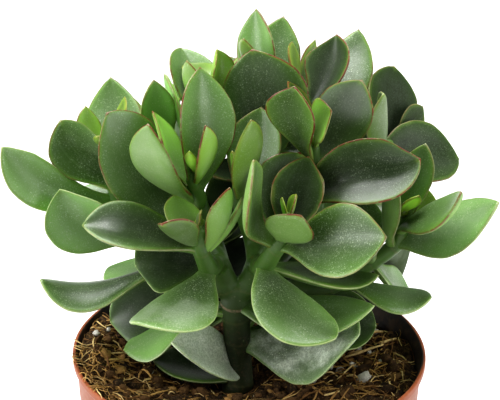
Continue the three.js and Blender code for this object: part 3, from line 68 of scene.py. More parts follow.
# leaves by CAD node: base, tip, upper-side direction, roll, width, arch, second
# arch, side bend, fold, twist, fullness, pointedness, thickness (mm, radians),
# then how red and how young the leaf is (0 to 1), its tone (-1 to 1), partly painted
# light and shade, and its veil of wax and painted sheen (0 to 1)
LEAF_NODES = {
    "far_left_leaves_3": [
        [1, -45.488, 10, 145.146, -81.017, -4.68, 169.756, 0.421, -0.022, 0.907, -0.9914, 16.1469, -0.5485, 0.1345, -0.1157, 0.1847, 0.0987, 1.0983, 0.3189, 3.1, 0.1, 0, 0.78, 0.3],
        [1, -44.461, 10, 146.834, -63.392, 10.408, 173.037, 0.669, -0.351, 0.655, -0.3645, 20.7582, -0.0401, 0.458, -0.0591, -0.2, 0.3677, 1.2215, 0.4755, 3.1, 0.4, 0, 0.04, 0.1],
        [0, -45.096, 10, 144.551, -26.056, 37.739, 144.017, 0.009, 0.013, 1, 0.0135, 19.7934, 0.002, 0.0527, 0.0163, 0.2727, -0.2566, 0.901, 0.3283, 2.9695, 0.18, 0, -0.34, 0.07],
    ],
    "far_left_leaves_2": [
        [1, -35.853, 6, 132.725, -62.474, -4.782, 155.135, 0.574, 0.127, 0.809, -1.7816, 25.5585, -0.4727, 0.2422, 0.0365, 0.5193, 0.0245, 1.2313, 0.1478, 3.1, 0.1, 0, 1.01, 0.35],
        [0, -35.592, 6, 132.913, -32.146, 33.21, 122.212, 0.046, 0.361, 0.932, 0.0875, 17.045, -0.0884, 0.1215, -0.0157, 0.1741, 0.0601, 1.0226, 0.5916, 3.1, 0.03, 0, -0.17, 0.21],
    ],
    "front_left_leaves_2": [
        [1, -16.331, -14, 138.373, -54.254, -18.475, 148.688, 0.164, -0.017, 0.986, -0.3127, 22.2221, 0.1205, 0.0266, 0.0195, 0.2826, -0.0489, 0.9853, 0.0904, 3.1, 0.25, 0, -0.44, 0.2],
        [1, -16.035, -14, 137.602, -3.149, -3.925, 152.993, -0.496, -0.418, 0.761, -0.7485, 13.4148, -0.2881, 0.0815, 0.1537, 0.0709, -0.0978, 1.0055, 0.3816, 2.7737, 0.3, 0.2, 0.99, 0.1],
        [1, -16.042, -14, 138.385, -7.35, -21.078, 163.794, -0.882, 0.297, 0.366, -0.2667, 13.6065, -0.3442, -0.0826, -0.0582, 0.4073, 0.2237, 1.0969, 0.5441, 2.8389, 0.8, 0.3, 0.57, 0.1],
    ],
    "front_left_leaves_1": [
        [1, -13.49, -11, 130.518, -37.911, -9.298, 129.84, -0.105, 0.031, 0.994, -0.8631, 23.9274, 0.2815, -0.1726, 0.1143, 0.2489, -0.032, 1.027, 0.2389, 2.7737, 0, 0, -0.72, 0.1],
        [1, -13.872, -11, 130.481, -36.585, -45.356, 128.029, -0.169, -0.157, 0.973, -0.0093, 26.8304, -0.3544, 0.0647, -0.278, -0.1842, 0.4385, 0.9576, 0.4179, 3.1, 0, 0.05, 0.48, 0.6],
    ],
    "far_left_leaves_1": [
        [1, -28.918, 4, 122.295, -69.772, -5.53, 122.492, -0.107, 0.005, 0.994, 0.0808, 24.2523, -0.4141, 0.4213, -0.0256, -0.2, -0.4072, 1.1593, 0.3827, 3.1, 0.1, 0, 0, 0.3],
        [1, -28.7, 4, 121.218, -49.709, 25.441, 111.952, -0.209, 0.209, 0.955, -0.1494, 19.1486, -0.1077, 0.0406, 0.0572, 0.0783, -0.0949, 0.924, 0.459, 2.9042, 0, 0, 0.9, 0.3],
        [0, -28.829, 4, 121.317, -12.762, -20.743, 116.469, 0.088, -0.136, 0.987, -0.006, 16.5224, -0.1512, -0.0502, 0.0966, 0.3321, -0.2149, 0.9604, 0.3621, 3.1, 0, 0, -0.14, 0.02],
    ],
    "trunk_leaves_1": [
        [1, -3.673, 1, 83.919, -25.55, -20.421, 107.646, 0.545, 0.321, 0.774, -0.6174, 20.8697, 0.1278, 0.1036, -0.0576, 0.3549, 0.035, 0.75, 0.4464, 2.8389, 0, 0, 0.7, 1],
        [1, -3.64, 1, 82.17, -32.564, 0.228, 89.111, 0.223, 0.008, 0.975, -0.1019, 20.0824, -0.0188, -0.0273, -0.0072, 0.1904, 0.0072, 0.984, 0.3485, 2.9042, 0, 0, -0.5, 0],
    ],
    "trunk_leaves_3": [
        [1, -5.766, 1, 107.484, -42.562, -1.369, 94.281, -0.214, -0.041, 0.976, 0.0805, 21.8134, 0.2941, 0.5, 0.1321, -0.1513, -0.45, 1.35, 0, 3.1, 0, 0, 1.1, 0.4],
    ],
    "trunk_leaves_4": [
        [1, -4.167, 1, 110.446, -48.046, 14.391, 96.478, -0.29, 0.075, 0.954, -0.8338, 26.2657, -0.0907, -0.4283, 0.1579, 0.3072, -0.2679, 1.0968, 0, 3.1, 0, 0, -0.6, 0],
        [1, -5.026, 1, 111.329, 40.705, -15.082, 119.64, -0.089, 0.017, 0.996, 0.2629, 22.0865, -0.3002, 0.0809, 0.181, 0.0472, -0.1337, 0.943, 0.5782, 3.1, 0, 0, 0.46, 0.1],
    ],
    "far_left_leaves_4": [
        [1, -46.796, 12, 152.801, -56.428, 28.237, 171.122, 0.584, -0.56, 0.588, 0.0706, 10.7915, -0.3338, -0.1183, -0.1605, 0.055, -0.0246, 1.1621, 0.6456, 1.7895, 0.6, 0.6, 0.5, 0.1],
        [1, -45.257, 12, 153.337, -48.939, 42.364, 176.177, 0.134, -0.872, 0.471, -0.291, 19.972, -0.2887, 0.0739, 0.0431, 0.0618, 0.039, 0.75, 0.5571, 3.1, 0.4, 0, 0.27, 0.1],
    ],
    "far_left_tip": [
        [1, -44.791, 13, 162.433, -43.5, 31.211, 173.659, -0.078, -0.675, 0.734, -0.8484, 7.7599, -0.0291, 0.0185, -0.0219, 0.2192, -0.0881, 0.9605, 0.7946, 1.6632, 0.6, 0.9, -0.21, 0.1],
        [0, -44.747, 13, 162.541, -50.891, 4.083, 170.578, 0.338, 0.491, 0.803, 0.2744, 7.492, -0.3785, -0.0008, -0.033, 0.2665, -0.0612, 0.9512, 0.4573, 1.7368, 0.57, 0.75, -0.05, 0.19],
    ],
    "mid_left_leaves_1": [
        [1, -21.558, 5, 139.47, -47.405, 1.272, 179.737, 0.811, 0.218, 0.543, -1.1233, 26.1103, -0.207, -0.2179, 0.0293, 0.037, -0.0136, 0.8777, 0.1489, 3.1, 0.6, 0, 0.47, 0.1],
        [0, -21.163, 5, 139.544, -45.081, 34.713, 134.544, -0.081, 0.101, 0.992, 0.0711, 22.1203, -0.0012, -0.0817, 0.062, 0.1616, -0.003, 1.0833, 0.354, 3.1, 0.19, 0, -0.28, 0.24],
    ],
    "upper_left_leaves_1": [
        [1, -23.541, 18, 153.323, -32.9, 17.121, 185.329, 0.805, -0.429, 0.409, -0.4647, 15.4326, -0.4844, -0.1818, -0.2229, 0.4019, -0.0909, 1.1502, 0.6804, 3.1, 0.4, 0, 1.35, 0.1],
        [1, -21.703, 18, 154.48, -29.814, 27.166, 183.445, 0.5, -0.733, 0.461, -1.8579, 16.1935, -0.0519, -0.023, 0.0323, -0.031, -0.1734, 0.9648, 0.3988, 3.1, 0.4, 0, 1.35, 0.1],
        [0, -21.627, 18, 154.612, -18.156, 50.012, 141.973, 0.039, 0.363, 0.931, 0.0897, 20.0266, 0.2826, 0.108, 0.0017, 0.2248, 0.2026, 1.0823, 0.3664, 3.1, 0.28, 0, -0.95, 0.23],
        [0, -21.627, 18, 154.612, -3.948, 36.265, 166.542, -0.295, -0.305, 0.905, -0.2548, 16.2565, 0.0636, 0.1031, 0.0069, 0.1512, 0.0703, 1.0577, 0.4844, 3.1, 0.33, 0, -0.05, 0.06],
        [0, -21.627, 18, 154.612, 0.423, 16.373, 152.386, 0.1, -0.007, 0.995, 0.1653, 13.333, -0.0619, -0.0084, 0.0445, 0.1394, 0.0224, 1.0995, 0.5313, 2.8389, 0.38, 0, -0.95, 0.2],
    ],
    "upper_left_leaves_2": [
        [1, -16.465, 22, 167.137, -25.409, 49.125, 184.709, 0.757, -0.527, 0.386, -0.3257, 21.7291, -0.1557, -0.1783, 0.0682, 0.454, 0.0399, 0.9329, 0.3755, 3.1, 0.6, 0, 0.79, 0.1],
        [1, -16.184, 22, 167.336, -22.145, 21.435, 190.728, 0.917, 0.305, 0.257, 0.3842, 11.8761, -0.0982, 0.039, 0.0139, 0.1743, 0.0692, 0.9832, 0.7905, 1.7895, 0.6, 0.5, 0.34, 0.5],
    ],
    "upper_left_tip": [
        [1, -15.29, 23, 175.415, -12.498, 28.601, 192.141, -0.328, -0.839, 0.435, 1.3825, 15.4421, -0.1468, 0.0339, 0.1706, 0.4788, 0.1718, 1.0279, 0.7648, 1.7474, 0.6, 0.7, 0.66, 0.1],
        [0, -15.829, 23, 176.204, -19.765, 43.376, 181.561, 0.047, -0.245, 0.968, 0.0142, 11.7883, 0.4064, 0.1181, -0.0324, 0.2063, -0.0354, 1.076, 0.3938, 1.7832, 0.59, 0.75, 0.16, 0.15],
    ],
    "mid_left_leaves_2": [
        [1, -18.747, 1, 150.129, -33.356, -10.655, 181.018, 0.606, 0.572, 0.552, 0.2503, 16.9192, -0.5309, 0.0515, 0.123, -0.1385, 0.0637, 0.9572, 0.4714, 3.0347, 0.7, 0, 0.27, 0.1],
        [1, -19.085, 1, 150.396, -17.833, 17.507, 189.773, 0.015, -0.968, 0.25, 0.65, 24.3756, 0.322, 0.1189, 0.0904, 0.3722, 0.038, 0.9379, 0.8494, 3.1, 0.7, 0, 0.71, 0.3],
    ],
    "mid_left_leaves_3": [
        [1, -20.799, -1, 155.535, -32.957, 7.469, 178.087, 0.799, -0.295, 0.524, 0.1828, 18.5095, -0.0981, -0.1728, -0.0141, 0.1844, 0.2327, 0.7739, 0.8583, 1.8947, 0.9, 0.35, 1.15, 0.4],
        [1, -19.025, -1, 156.421, -15.249, -12.005, 181.482, -0.42, 0.84, 0.344, 0.4905, 10.6557, -0.3767, 0.0284, -0.1718, -0.0221, 0.0423, 0.9111, 0.8116, 1.7263, 0.9, 0.7, 0.42, 0.1],
    ],
    "mid_left_tip": [
        [1, -18.325, -1, 160.806, -20.232, -10.669, 171.998, 0.302, 0.953, 0, 0.1354, 3.9326, -0.3544, 0.0924, -0.0507, 0.1175, -0.0217, 1.2473, 0.7481, 1.4526, 0.6, 1, 1, 0.1],
    ],
    "centre_leaves_2": [
        [1, -4.209, 3, 147.781, -0.799, -7.081, 181.539, -0.406, 0.885, 0.23, 0.4459, 14.6617, -0.0838, 0.0384, -0.0749, 0.071, -0.0642, 0.8662, 0.4647, 1.8737, 0.5, 0.6, 0.1, 0.1],
        [1, -3.774, 3, 147.428, 2.611, 18.014, 175.817, -0.465, -0.794, 0.392, 0.3324, 19.2456, -0.1165, 0.0252, 0.0629, 0.382, 0.0034, 0.9274, 0.4494, 3.1, 0.6, 0, 0.38, 0.1],
    ],
    "centre_tip": [
        [1, -4.921, 2, 156.328, -6.641, -0.351, 167.824, 0.48, 0.832, 0.278, -0.2995, 4.8984, -0.0063, 0.0054, -0.0176, 0.2228, -0.0407, 0.9752, 0.796, 1.4526, 0.3, 1, 0.68, 0.1],
    ],
    "front_right_leaves_2": [
        [1, 7.702, -15, 141.114, 0.343, -29.614, 177.297, 0.798, -0.524, 0.298, 0.1317, 17.9081, -0.3994, -0.3583, -0.3095, 0.1704, 0.1619, 0.949, 0.4433, 2.9695, 0.5, 0.1, 0.35, 0.4],
        [1, 7.949, -15, 139.834, 15.447, 3.124, 165.96, -0.306, -0.739, 0.6, 0.421, 22.7752, 0.0173, -0.104, -0.0762, 0.1798, -0.0648, 1.0743, 0.181, 3.1, 0.7, 0, -0.41, 0.1],
        [1, 9.46, -15, 141.397, 42.057, -37.869, 155.37, -0.27, 0.117, 0.956, 0.9882, 25.2249, -0.0831, 0.0147, 0.0247, 0.3291, 0.0035, 1.0529, 0.4233, 3.1, 0.4, 0, 0.05, 0.35],
    ],
    "front_left_leaves_3": [
        [1, -16.839, -15, 142.22, -25.284, -6.426, 154.471, 0.475, -0.526, 0.706, 0.176, 15.6258, 0.063, 0.1222, -0.2489, 0.0442, 0.1709, 0.8841, 0.4641, 2.7084, 0.5, 0.3, 0.77, 0.1],
        [1, -17.577, -15, 142.425, -28.413, -31.516, 155.674, 0.388, 0.385, 0.837, 0.5331, 12.927, -0.114, -0.3446, -0.1928, 0.3571, -0.0229, 0.9924, 0.5626, 2.5779, 0.9, 0.1, -0.35, 0.1],
    ],
    "front_left_tip": [
        [1, -16.893, -15, 148.004, -16.196, -20.634, 154.762, 1, 0, 0, -0.1602, 5.0073, -0.1847, -0.0569, 0.013, 0.1237, 0.0579, 0.9895, 0.7513, 1.3684, 0.4, 0.45, -0.95, 0.1],
    ],
    "front_right_leaves_3": [
        [1, 9.28, -16, 144.501, 15.538, -32.302, 159.818, -0.255, 0.625, 0.737, -0.5956, 15.8807, -0.1838, -0.0604, 0.2207, -0.0905, 0.03, 0.9509, 0.3947, 2.5126, 0.8, 0.1, 0.19, 0.1],
        [1, 11.001, -16, 145.66, 18.239, -1.281, 166.599, -0.494, -0.706, 0.507, 0.5555, 17.0252, -0.043, -0.0683, -0.0679, 0.2184, -0.1568, 0.7682, 0.6149, 2.9368, 0.6, 0, -0.73, 0.1],
    ],
    "front_right_tip": [
        [1, 11.525, -16, 150.575, 9.558, -23.746, 161.91, 0.538, 0.754, 0.376, -0.7497, 4.9119, -0.0869, 0.0088, -0.0111, 0.1358, -0.026, 0.9819, 0.7762, 1.4947, 0.4, 1, 1.1, 0.2],
        [1, 11.57, -16, 149.771, 14.236, -15.652, 159.592, -0.743, -0.543, 0.391, -0.4026, 6.872, 0.0419, -0.0266, -0.0223, 0.2389, -0.0212, 1.0257, 0.7732, 1.5158, 0.6, 1, 0.04, 0.1],
    ],
    "front_right_leaves_1": [
        [1, 4.274, -11, 131.559, 27.089, -42.344, 121.757, 0.125, -0.141, 0.982, -0.1061, 26.5792, -0.175, 0.2466, 0.328, -0.1049, 0.1799, 0.8492, 0, 3.1, 0, 0.05, 0.36, 0.5],
        [1, 4.262, -11, 131.299, 42.661, -0.106, 123.357, 0.172, 0.049, 0.984, -0.0264, 19.7639, -0.2124, 0.1868, 0.0029, 0.0828, -0.0948, 0.9283, 0.4527, 3.1, 0.1, 0, -0.25, 0.1],
    ],
    "mid_right_leaves_1": [
        [1, 19.295, 4, 145.783, 54.747, 1.065, 165.426, -0.502, 0.043, 0.864, 0.9658, 25.5174, 0.3642, 0.4851, 0.1566, 0.55, 0.45, 0.8549, 0.1332, 3.1, 0.9, 0, -0.48, 0.3],
        [0, 20.015, 4, 145.116, 17.89, 45.309, 146.593, 0.002, -0.036, 0.999, -0.3524, 23.7992, -0.1187, -0.0391, -0.0104, 0.2334, 0.0252, 0.9393, 0.5542, 3.1, 0.17, 0, -0.13, 0.04],
    ],
    "mid_right_leaves_2": [
        [1, 20.491, 7, 160.028, 35.596, 16.439, 186.575, -0.537, -0.516, 0.667, 0.279, 21.3603, -0.1788, -0.0999, -0.005, 0.1207, -0.2457, 1.0164, 0.4029, 3.0021, 0.7, 0, -0.63, 0.1],
        [1, 19.677, 7, 161.043, 13.074, -2.921, 191.51, 0.97, 0, 0.244, -2.1895, 19.1774, -0.2092, 0.0208, 0.0601, 0.3823, 0.2614, 1.3075, 0.4199, 2.9042, 1, 0.1, 0.15, 0.2],
    ],
    "mid_right_tip": [
        [1, 20.552, 7, 167.391, 25.195, -2.82, 183.415, -0.713, 0.565, 0.416, 0.9893, 15.2868, 0.2394, -0.0696, -0.027, 0.2492, 0.0006, 1.0861, 0.7253, 1.6, 0.6, 0.4, 0.85, 0.1],
        [1, 20.907, 7, 166.82, 11.224, 15.059, 186.33, 0.595, -0.581, 0.556, 0.2971, 11.1693, 0.0124, 0.0228, 0.0175, 0.2451, -0.002, 1.0341, 0.789, 1.7895, 0.6, 0.7, -1, 0.1],
    ],
    "top_leaves_1": [
        [1, 8.064, 18, 160.985, -0.581, 23.3, 194.224, 0.51, -0.745, 0.43, -0.7344, 28.7279, -0.0175, 0.1264, 0.0965, 0.0759, -0.2724, 0.75, 0.1968, 3.1, 1, 0, -0.12, 0.1],
        [0, 7.483, 18, 161.312, 24.162, 53.682, 151.876, 0.099, 0.211, 0.972, -0.0937, 23.4486, -0.2082, -0.1062, 0.0165, 0.3254, -0.0262, 1.0125, 0.503, 3.1, 0.38, 0, -0.25, 0.21],
        [0, 7.483, 18, 161.312, 33.825, 21.091, 164.483, -0.118, -0.014, 0.993, 0.4811, 15.4645, -0.1762, -0.1955, -0.0373, 0.122, -0.0555, 0.9557, 0.4295, 3.1, 0.43, 0, -0.03, 0.14],
    ],
    "rear_top_leaves_1": [
        [1, 3.988, 32, 169.86, 0.496, 43.533, 201.166, 0.364, -0.896, 0.256, -1.0318, 17.6632, 0.0489, 0.0005, 0.0937, 0.4309, -0.1802, 0.8708, 0.471, 3.1, 0.6, 0, 0.96, 0.1],
        [1, 3.565, 32, 169.691, 9.928, 54.702, 194.793, -0.335, -0.795, 0.506, 0.3218, 18.5904, -0.138, 0.0329, -0.0736, 0.302, -0.01, 0.75, 0.6994, 3.1, 0.5, 0, 0.43, 0.5],
        [0, 3.645, 32, 170.039, 23.501, 55.41, 157.087, 0.251, 0.296, 0.921, -0.1003, 19.4349, -0.0446, -0.0508, -0.1093, 0.329, -0.0732, 1.009, 0.252, 3.0347, 0.48, 0, 0.23, 0.24],
        [0, 3.645, 32, 170.039, -14.218, 57.624, 166.816, -0.059, 0.084, 0.995, -0.3926, 18.3177, 0.0879, -0.0834, 0.0431, 0.324, -0.1656, 0.9811, 0.2619, 3.0347, 0.44, 0, -0.25, 0.13],
    ],
    "rear_top_tip": [
        [1, 0.782, 33, 177.788, -3.502, 26.68, 196.82, 0.874, 0.41, 0.26, 0.2826, 10.0133, -0.0337, 0.0186, 0.0072, 0.1915, 0.0242, 0.9943, 0.7722, 1.6632, 0.5, 0.8, 0, 0.1],
    ],
    "top_tip": [
        [1, 15.31, 24, 180.347, 12.825, 39.859, 191.19, 0.462, -0.772, 0.437, 0.5506, 7.9192, -0.1754, -0.0679, -0.064, 0.1342, -0.1654, 1.0624, 0.7409, 1.6211, 0.6, 1, 0, 0],
        [1, 14.51, 24, 179.582, 20.875, 48.338, 189.077, -0.205, -0.619, 0.758, 0.9144, 6.712, -0.3822, -0.0145, -0.1005, 0.1849, 0.0443, 0.9451, 0.9885, 1.6632, 0.6, 0.7, -0.23, 0.1],
    ],
    "top_leaves_2": [
        [1, 17.768, 22, 172.756, 27.75, 38.798, 194.267, -0.785, -0.452, 0.424, 0.3557, 20.2359, -0.4057, 0.1166, 0.1811, 0.5365, -0.2359, 1.1109, 0.6535, 3.1, 0.9, 0, -0.65, 0.1],
        [1, 17.253, 22, 172.5, 36.074, 59.242, 188.955, -0.429, -0.476, 0.768, 0.466, 19.8322, -0.4029, 0.0878, 0.0977, 0.031, -0.0769, 0.7564, 0.5647, 3.1, 0.5, 0, 0.05, 0.55],
    ],
    "rear_right_leaves_2": [
        [1, 42.785, 24, 157.7, 48.338, 49.436, 179.051, -0.2, -0.862, 0.465, 1.0316, 26.3553, -0.3473, -0.2055, -0.0671, 0.1808, -0.2341, 0.9624, 0.3281, 3.0347, 0.3, 0, -0.79, 0.1],
    ],
    "rear_right_leaves_1": [
        [1, 42.755, 20, 150.557, 42.69, 14.684, 182.613, -0.216, -0.944, 0.251, -1.6281, 16.5384, -0.0479, 0.1694, 0.0323, 0.4584, 0.1148, 1.1844, 0.2046, 2.9695, 0.3, 0.2, -0.24, 0.1],
        [1, 42.637, 20, 151.343, 70.963, 36.187, 150.625, -0.286, 0.022, 0.958, 0.8849, 24.5417, 0.5026, 0.1878, 0.0025, 0.2293, -0.3097, 0.7763, 0.1612, 3.1, 0.5, 0, -0.68, 0.4],
        [0, 42.501, 20, 150.058, 43.946, 49.177, 137.218, 0.02, 0.402, 0.915, 0.1781, 18.6142, 0.0753, 0.122, 0.0533, 0.1657, 0.2051, 1.0981, 0.5383, 3.0347, 0.17, 0, 0.19, 0.14],
        [0, 42.501, 20, 150.058, 35.488, 39.972, 163.725, 0.18, -0.512, 0.84, 0.2442, 14.1729, -0.5399, 0.0503, 0.0513, 0.1927, -0.2883, 1.0381, 0.3542, 2.9042, 0.32, 0, 0.18, 0.07],
    ],
    "rear_right_tip": [
        [1, 49.107, 33, 159.187, 58.676, 45.972, 165.83, -0.389, -0.371, 0.843, 1.3423, 11.3537, -0.0517, 0.0049, 0.0129, 0.1944, 0.2476, 0.9243, 0.8878, 1.6632, 0.3, 0.1, -0.73, 0.1],
    ],
    "far_right_leaves_4": [
        [1, 50.693, 12, 133.217, 57.549, 15.862, 164.546, -0.936, -0.28, 0.212, 0.7163, 12.8771, -0.0806, 0.0829, -0.0491, 0.3572, 0.1552, 1.1591, 0.427, 3.1, 0.4, 0, 0.58, 0.1],
        [1, 49.976, 12, 134.174, 67.765, -7.5, 157.639, -0.613, 0.335, 0.716, 0.2932, 17.9518, -0.2401, 0.4511, 0.0483, 0.1076, 0.0566, 0.9571, 0.3936, 2.9695, 0.5, 0, 0.57, 0.35],
    ],
    "far_right_leaves_3": [
        [1, 48.962, 12, 129.979, 81.289, 0.728, 150.455, -0.427, -0.012, 0.904, 0.3257, 23.8528, -0.2849, -0.0019, 0.0154, -0.0337, -0.45, 0.937, 0.8, 3.1, 0.2, 0, 0.97, 0.55],
        [1, 48.189, 12, 128.288, 45.893, 3.357, 160.399, 1, 0, 0, 0.1474, 19.1352, -0.2053, -0.1276, -0.006, 0.1991, 0.1179, 1.0051, 0.3191, 3.1, 0.3, 0, 0.64, 0.1],
        [1, 48.068, 12, 128.825, 52.696, 36.79, 103.761, 0.151, 0.744, 0.652, -0.7582, 18.9787, 0.2699, 0.0051, -0.1449, 0.3566, -0.0425, 0.982, 0.3206, 2.9042, 0, 0, -1, 0.1],
        [0, 48.375, 12, 128.527, 59.628, 30.702, 142.015, -0.271, -0.45, 0.851, 0.3232, 14.9671, -0.2402, 0.0021, 0.1497, 0.2502, 0.0056, 0.9324, 0.588, 1.8758, 0.2, 0.75, 0.12, 0.13],
    ],
    "far_right_tip": [
        [1, 50.684, 12, 140.211, 55.472, 5.203, 150.434, -0.654, -0.504, 0.564, 1.5112, 5.6945, 0.3, 0.1704, -0.0205, 0.2679, 0.1882, 1.1867, 0.7495, 1.4737, 0.5, 0.9, 1.4, 0.1],
    ],
    "far_right_leaves_2": [
        [1, 40.846, 11, 122.791, 55.967, 26.986, 103.437, 0.468, 0.468, 0.75, 0.77, 14.9185, -0.223, 0.147, 0.0967, 0.2594, -0.1277, 1.1821, 0.3437, 2.9695, 0, 0, 0.63, 0.45],
        [0, 40.757, 11, 122.856, 26.575, -11.713, 149.291, 0.372, 0.596, 0.712, 0.1302, 21.9493, 0.0024, 0.1241, -0.041, 0.1627, 0.0325, 1.0931, 0.2745, 3.0347, 0.37, 0, 0.03, 0.23],
    ],
    "far_right_leaves_1": [
        [1, 27.506, 9, 115.654, 60.133, -6.505, 118.706, 0.049, -0.004, 0.999, -0.0669, 19.3317, -0.0878, 0.5, 0.0465, -0.0269, 0.45, 1.2743, 0.204, 3.0347, 0, 0, 0.48, 0.35],
        [0, 27.03, 9, 114.896, 10.194, 35.74, 138.469, 0.319, -0.506, 0.802, -0.1009, 22.824, 0.0435, -0.0627, 0.0175, 0.3034, -0.0625, 0.9726, 0.3527, 3.1, 0.12, 0, 0.07, 0.05],
    ],
    "trunk_leaves_2": [
        [1, -3.953, 1, 97.93, 35.825, -20.677, 111.81, -0.246, 0.114, 0.962, 0.6787, 32.5172, -0.3522, -0.1034, -0.2679, 0.0459, -0.45, 1.0426, 0.5898, 3.1, 0, 0, 0.16, 0.86],
        [1, -4.07, 1, 98.36, 43.559, 15.17, 96.373, 0.028, 0.008, 1, 0.7262, 24.2256, 0.1732, -0.163, 0.0142, 0.3336, 0.1349, 1.1895, 0, 3.1, 0, 0, -0.81, 0.1],
        [0, -4.29, 1, 98.231, 12.659, 36.318, 117.922, -0.194, -0.405, 0.893, -0.3454, 24.1148, -0.2065, -0.0032, 0.0132, 0.1368, 0.9953, 0.9796, 0.5496, 3.1, 0, 0, 0.07, 0.15],
    ],
    "back_left_leaves_1": [
        [0, -16, 24, 120, -6.447, 58.875, 127.51, -0.031, -0.176, 0.984, -0.2705, 28.5923, -0.3638, 0.0769, 0.1005, 0.0806, -0.0307, 0.8572, 0.2018, 3.1, 0.04, 0, -0.95, 0.03],
        [0, -16, 24, 120, -3.963, 26.688, 151.019, -0.907, -0.203, 0.369, 0.6444, 19.3261, -0.244, -0.1698, -0.0148, 0.297, -0.1543, 1.0367, 0.3604, 3.1, 0.17, 0, -0.95, 0.01],
    ],
    "back_left_leaves_2": [
        [0, -24, 35, 131, -23.773, 72.487, 150.52, -0.003, -0.462, 0.887, -0.0439, 24.3026, -0.3399, 0.041, 0.0321, 0.2181, 0.0422, 0.9418, 0.3709, 3.1, 0.25, 0, 0, 0.09],
        [0, -24, 35, 131, -64.04, 41.768, 132.121, 0.027, -0.005, 1, -0.1167, 23.3586, -0.1967, -0.0932, -0.0433, 0.3317, 0.2553, 0.9219, 0.343, 3.1, 0.1, 0, 0.22, 0.09],
    ],
    "back_left_leaves_3": [
        [0, -30, 42, 142, -51.329, 63.434, 160.477, 0.368, -0.37, 0.853, 0.1516, 20.8453, -0.1099, 0.008, 0.0806, 0.2143, 0.2474, 0.9014, 0.4366, 2.9695, 0.25, 0, 0.16, 0.04],
        [0, -30, 42, 142, -62.403, 37.456, 144.241, 0.068, 0.009, 0.998, -0.415, 19.2921, -0.3257, -0.0314, -0.0034, 0.3102, 0.0766, 0.9355, 0.4343, 2.9695, 0.12, 0, 0.12, 0],
    ],
    "back_left_tip": [
        [0, -33, 46, 151, -50.23, 53.172, 168.153, 0.625, -0.26, 0.736, 0.0267, 13.7305, -0.0105, 0.0835, -0.0061, 0.1296, 0.0569, 1.0122, 0.5143, 1.8758, 0.44, 0.75, -0.29, 0.12],
        [0, -33, 46, 151, -21.647, 49.401, 173.622, -0.849, -0.254, 0.464, -0.0278, 13.8335, 0.1904, 0.0058, 0.0253, 0.2969, 0.046, 1.0726, 0.253, 1.8758, 0.43, 0.75, 0.01, 0.09],
    ],
    "back_right_leaves_1": [
        [0, 14, 26, 122, 5.818, 62.789, 137.16, 0.081, -0.364, 0.928, 0.2132, 23.5187, -0.1744, 0.1325, 0.0306, 0.2283, 0.0342, 1.0099, 0.5338, 3.1, 0.16, 0, 0.19, 0.12],
        [0, 14, 26, 122, 41.471, 53.685, 118.049, 0.071, 0.072, 0.995, 0.175, 22.6955, -0.3406, 0.0135, 0.0634, 0.1731, -0.1072, 0.9403, 0.5526, 3.1, 0, 0, -0.13, 0.19],
    ],
    "back_right_leaves_2": [
        [0, 24, 38, 133, 16.107, 71.62, 159.125, 0.138, -0.587, 0.798, 0.1453, 24.8988, -0.2672, 0.0309, -0.0684, 0.135, 0.0234, 1.0663, 0.5202, 3.1, 0.33, 0, -0.09, 0.1],
        [0, 24, 38, 133, 54.75, 61.502, 119.218, 0.267, 0.204, 0.942, -0.1216, 23.623, 0.0262, 0.0193, -0.0069, 0.277, 0.0581, 0.9894, 0.3841, 3.1, 0, 0, 0.03, 0.06],
    ],
    "back_right_leaves_3": [
        [0, 29, 45, 144, 41.934, 70.378, 167.503, -0.289, -0.567, 0.771, -0.2969, 21.7225, 0.0082, -0.0127, 0.0824, 0.1696, 0.0875, 1.0549, 0.4458, 2.9695, 0.62, 0, -0.23, 0.24],
        [0, 29, 45, 144, 38.72, 12.56, 128.336, 0.12, -0.402, 0.908, -0.2834, 21.9484, -0.2328, 0.0425, -0.0219, 0.2714, 0.051, 1.0919, 0.4605, 2.9695, 0.09, 0, -0.05, 0.17],
    ],
    "back_right_tip": [
        [0, 31, 48, 153, 42.452, 47.131, 176.683, -0.897, 0.068, 0.436, 0.1628, 14.257, 0.0269, 0.1098, -0.0223, 0.2721, 0.0944, 1.0332, 0.2685, 1.8758, 0.63, 0.75, -0.17, 0.18],
        [0, 31, 48, 153, 32.368, 68.676, 167.577, -0.038, -0.574, 0.818, -0.3081, 13.7232, -0.1259, 0.0336, 0.0519, 0.1065, 0.3068, 1.0436, 0.3005, 1.8758, 0.3, 0.75, -0.18, 0.04],
    ],
    "back_centre_leaves_2": [
        [0, -4, 46, 146, -8.551, 70.082, 173.877, 0.139, -0.738, 0.66, -0.4508, 21.6524, -0.1387, 0.0447, 0.04, 0.3479, 0.1272, 1.055, 0.205, 3.0347, 0.6, 0, -0.35, 0.19],
        [0, -4, 46, 146, 4.875, 80.614, 137.143, 0.06, 0.233, 0.971, -0.3275, 21.4753, -0.3071, 0.0257, -0.0112, 0.1222, -0.0211, 1.0381, 0.2419, 3.0347, 0.15, 0, -0.12, 0.1],
    ],
    "back_centre_tip": [
        [0, -5, 51, 157, -0.932, 63.975, 179.731, -0.257, -0.819, 0.513, -0.3068, 14.2626, -0.0104, 0.0545, -0.0278, 0.1862, -0.0932, 0.9595, 0.3927, 1.9221, 0.72, 0.75, -0.09, 0.21],
        [0, -5, 51, 157, -22.289, 35.718, 156.891, -0.004, -0.003, 1, -0.1424, 12.425, -0.3392, 0.0876, 0.1287, 0.1992, -0.1183, 0.947, 0.3055, 1.9221, 0.48, 0.75, -0.33, 0.24],
    ],
    "centre_leaves_1": [
        [0, -4.2, 2, 119, -3.631, 42.426, 116.304, 0.001, 0.067, 0.998, -0.4126, 25.5912, -0.3243, -0.0088, 0.0348, 0.3461, 0.2343, 1.0573, 0.2306, 3.1, 0, 0, -0.95, 0.19],
    ],
}
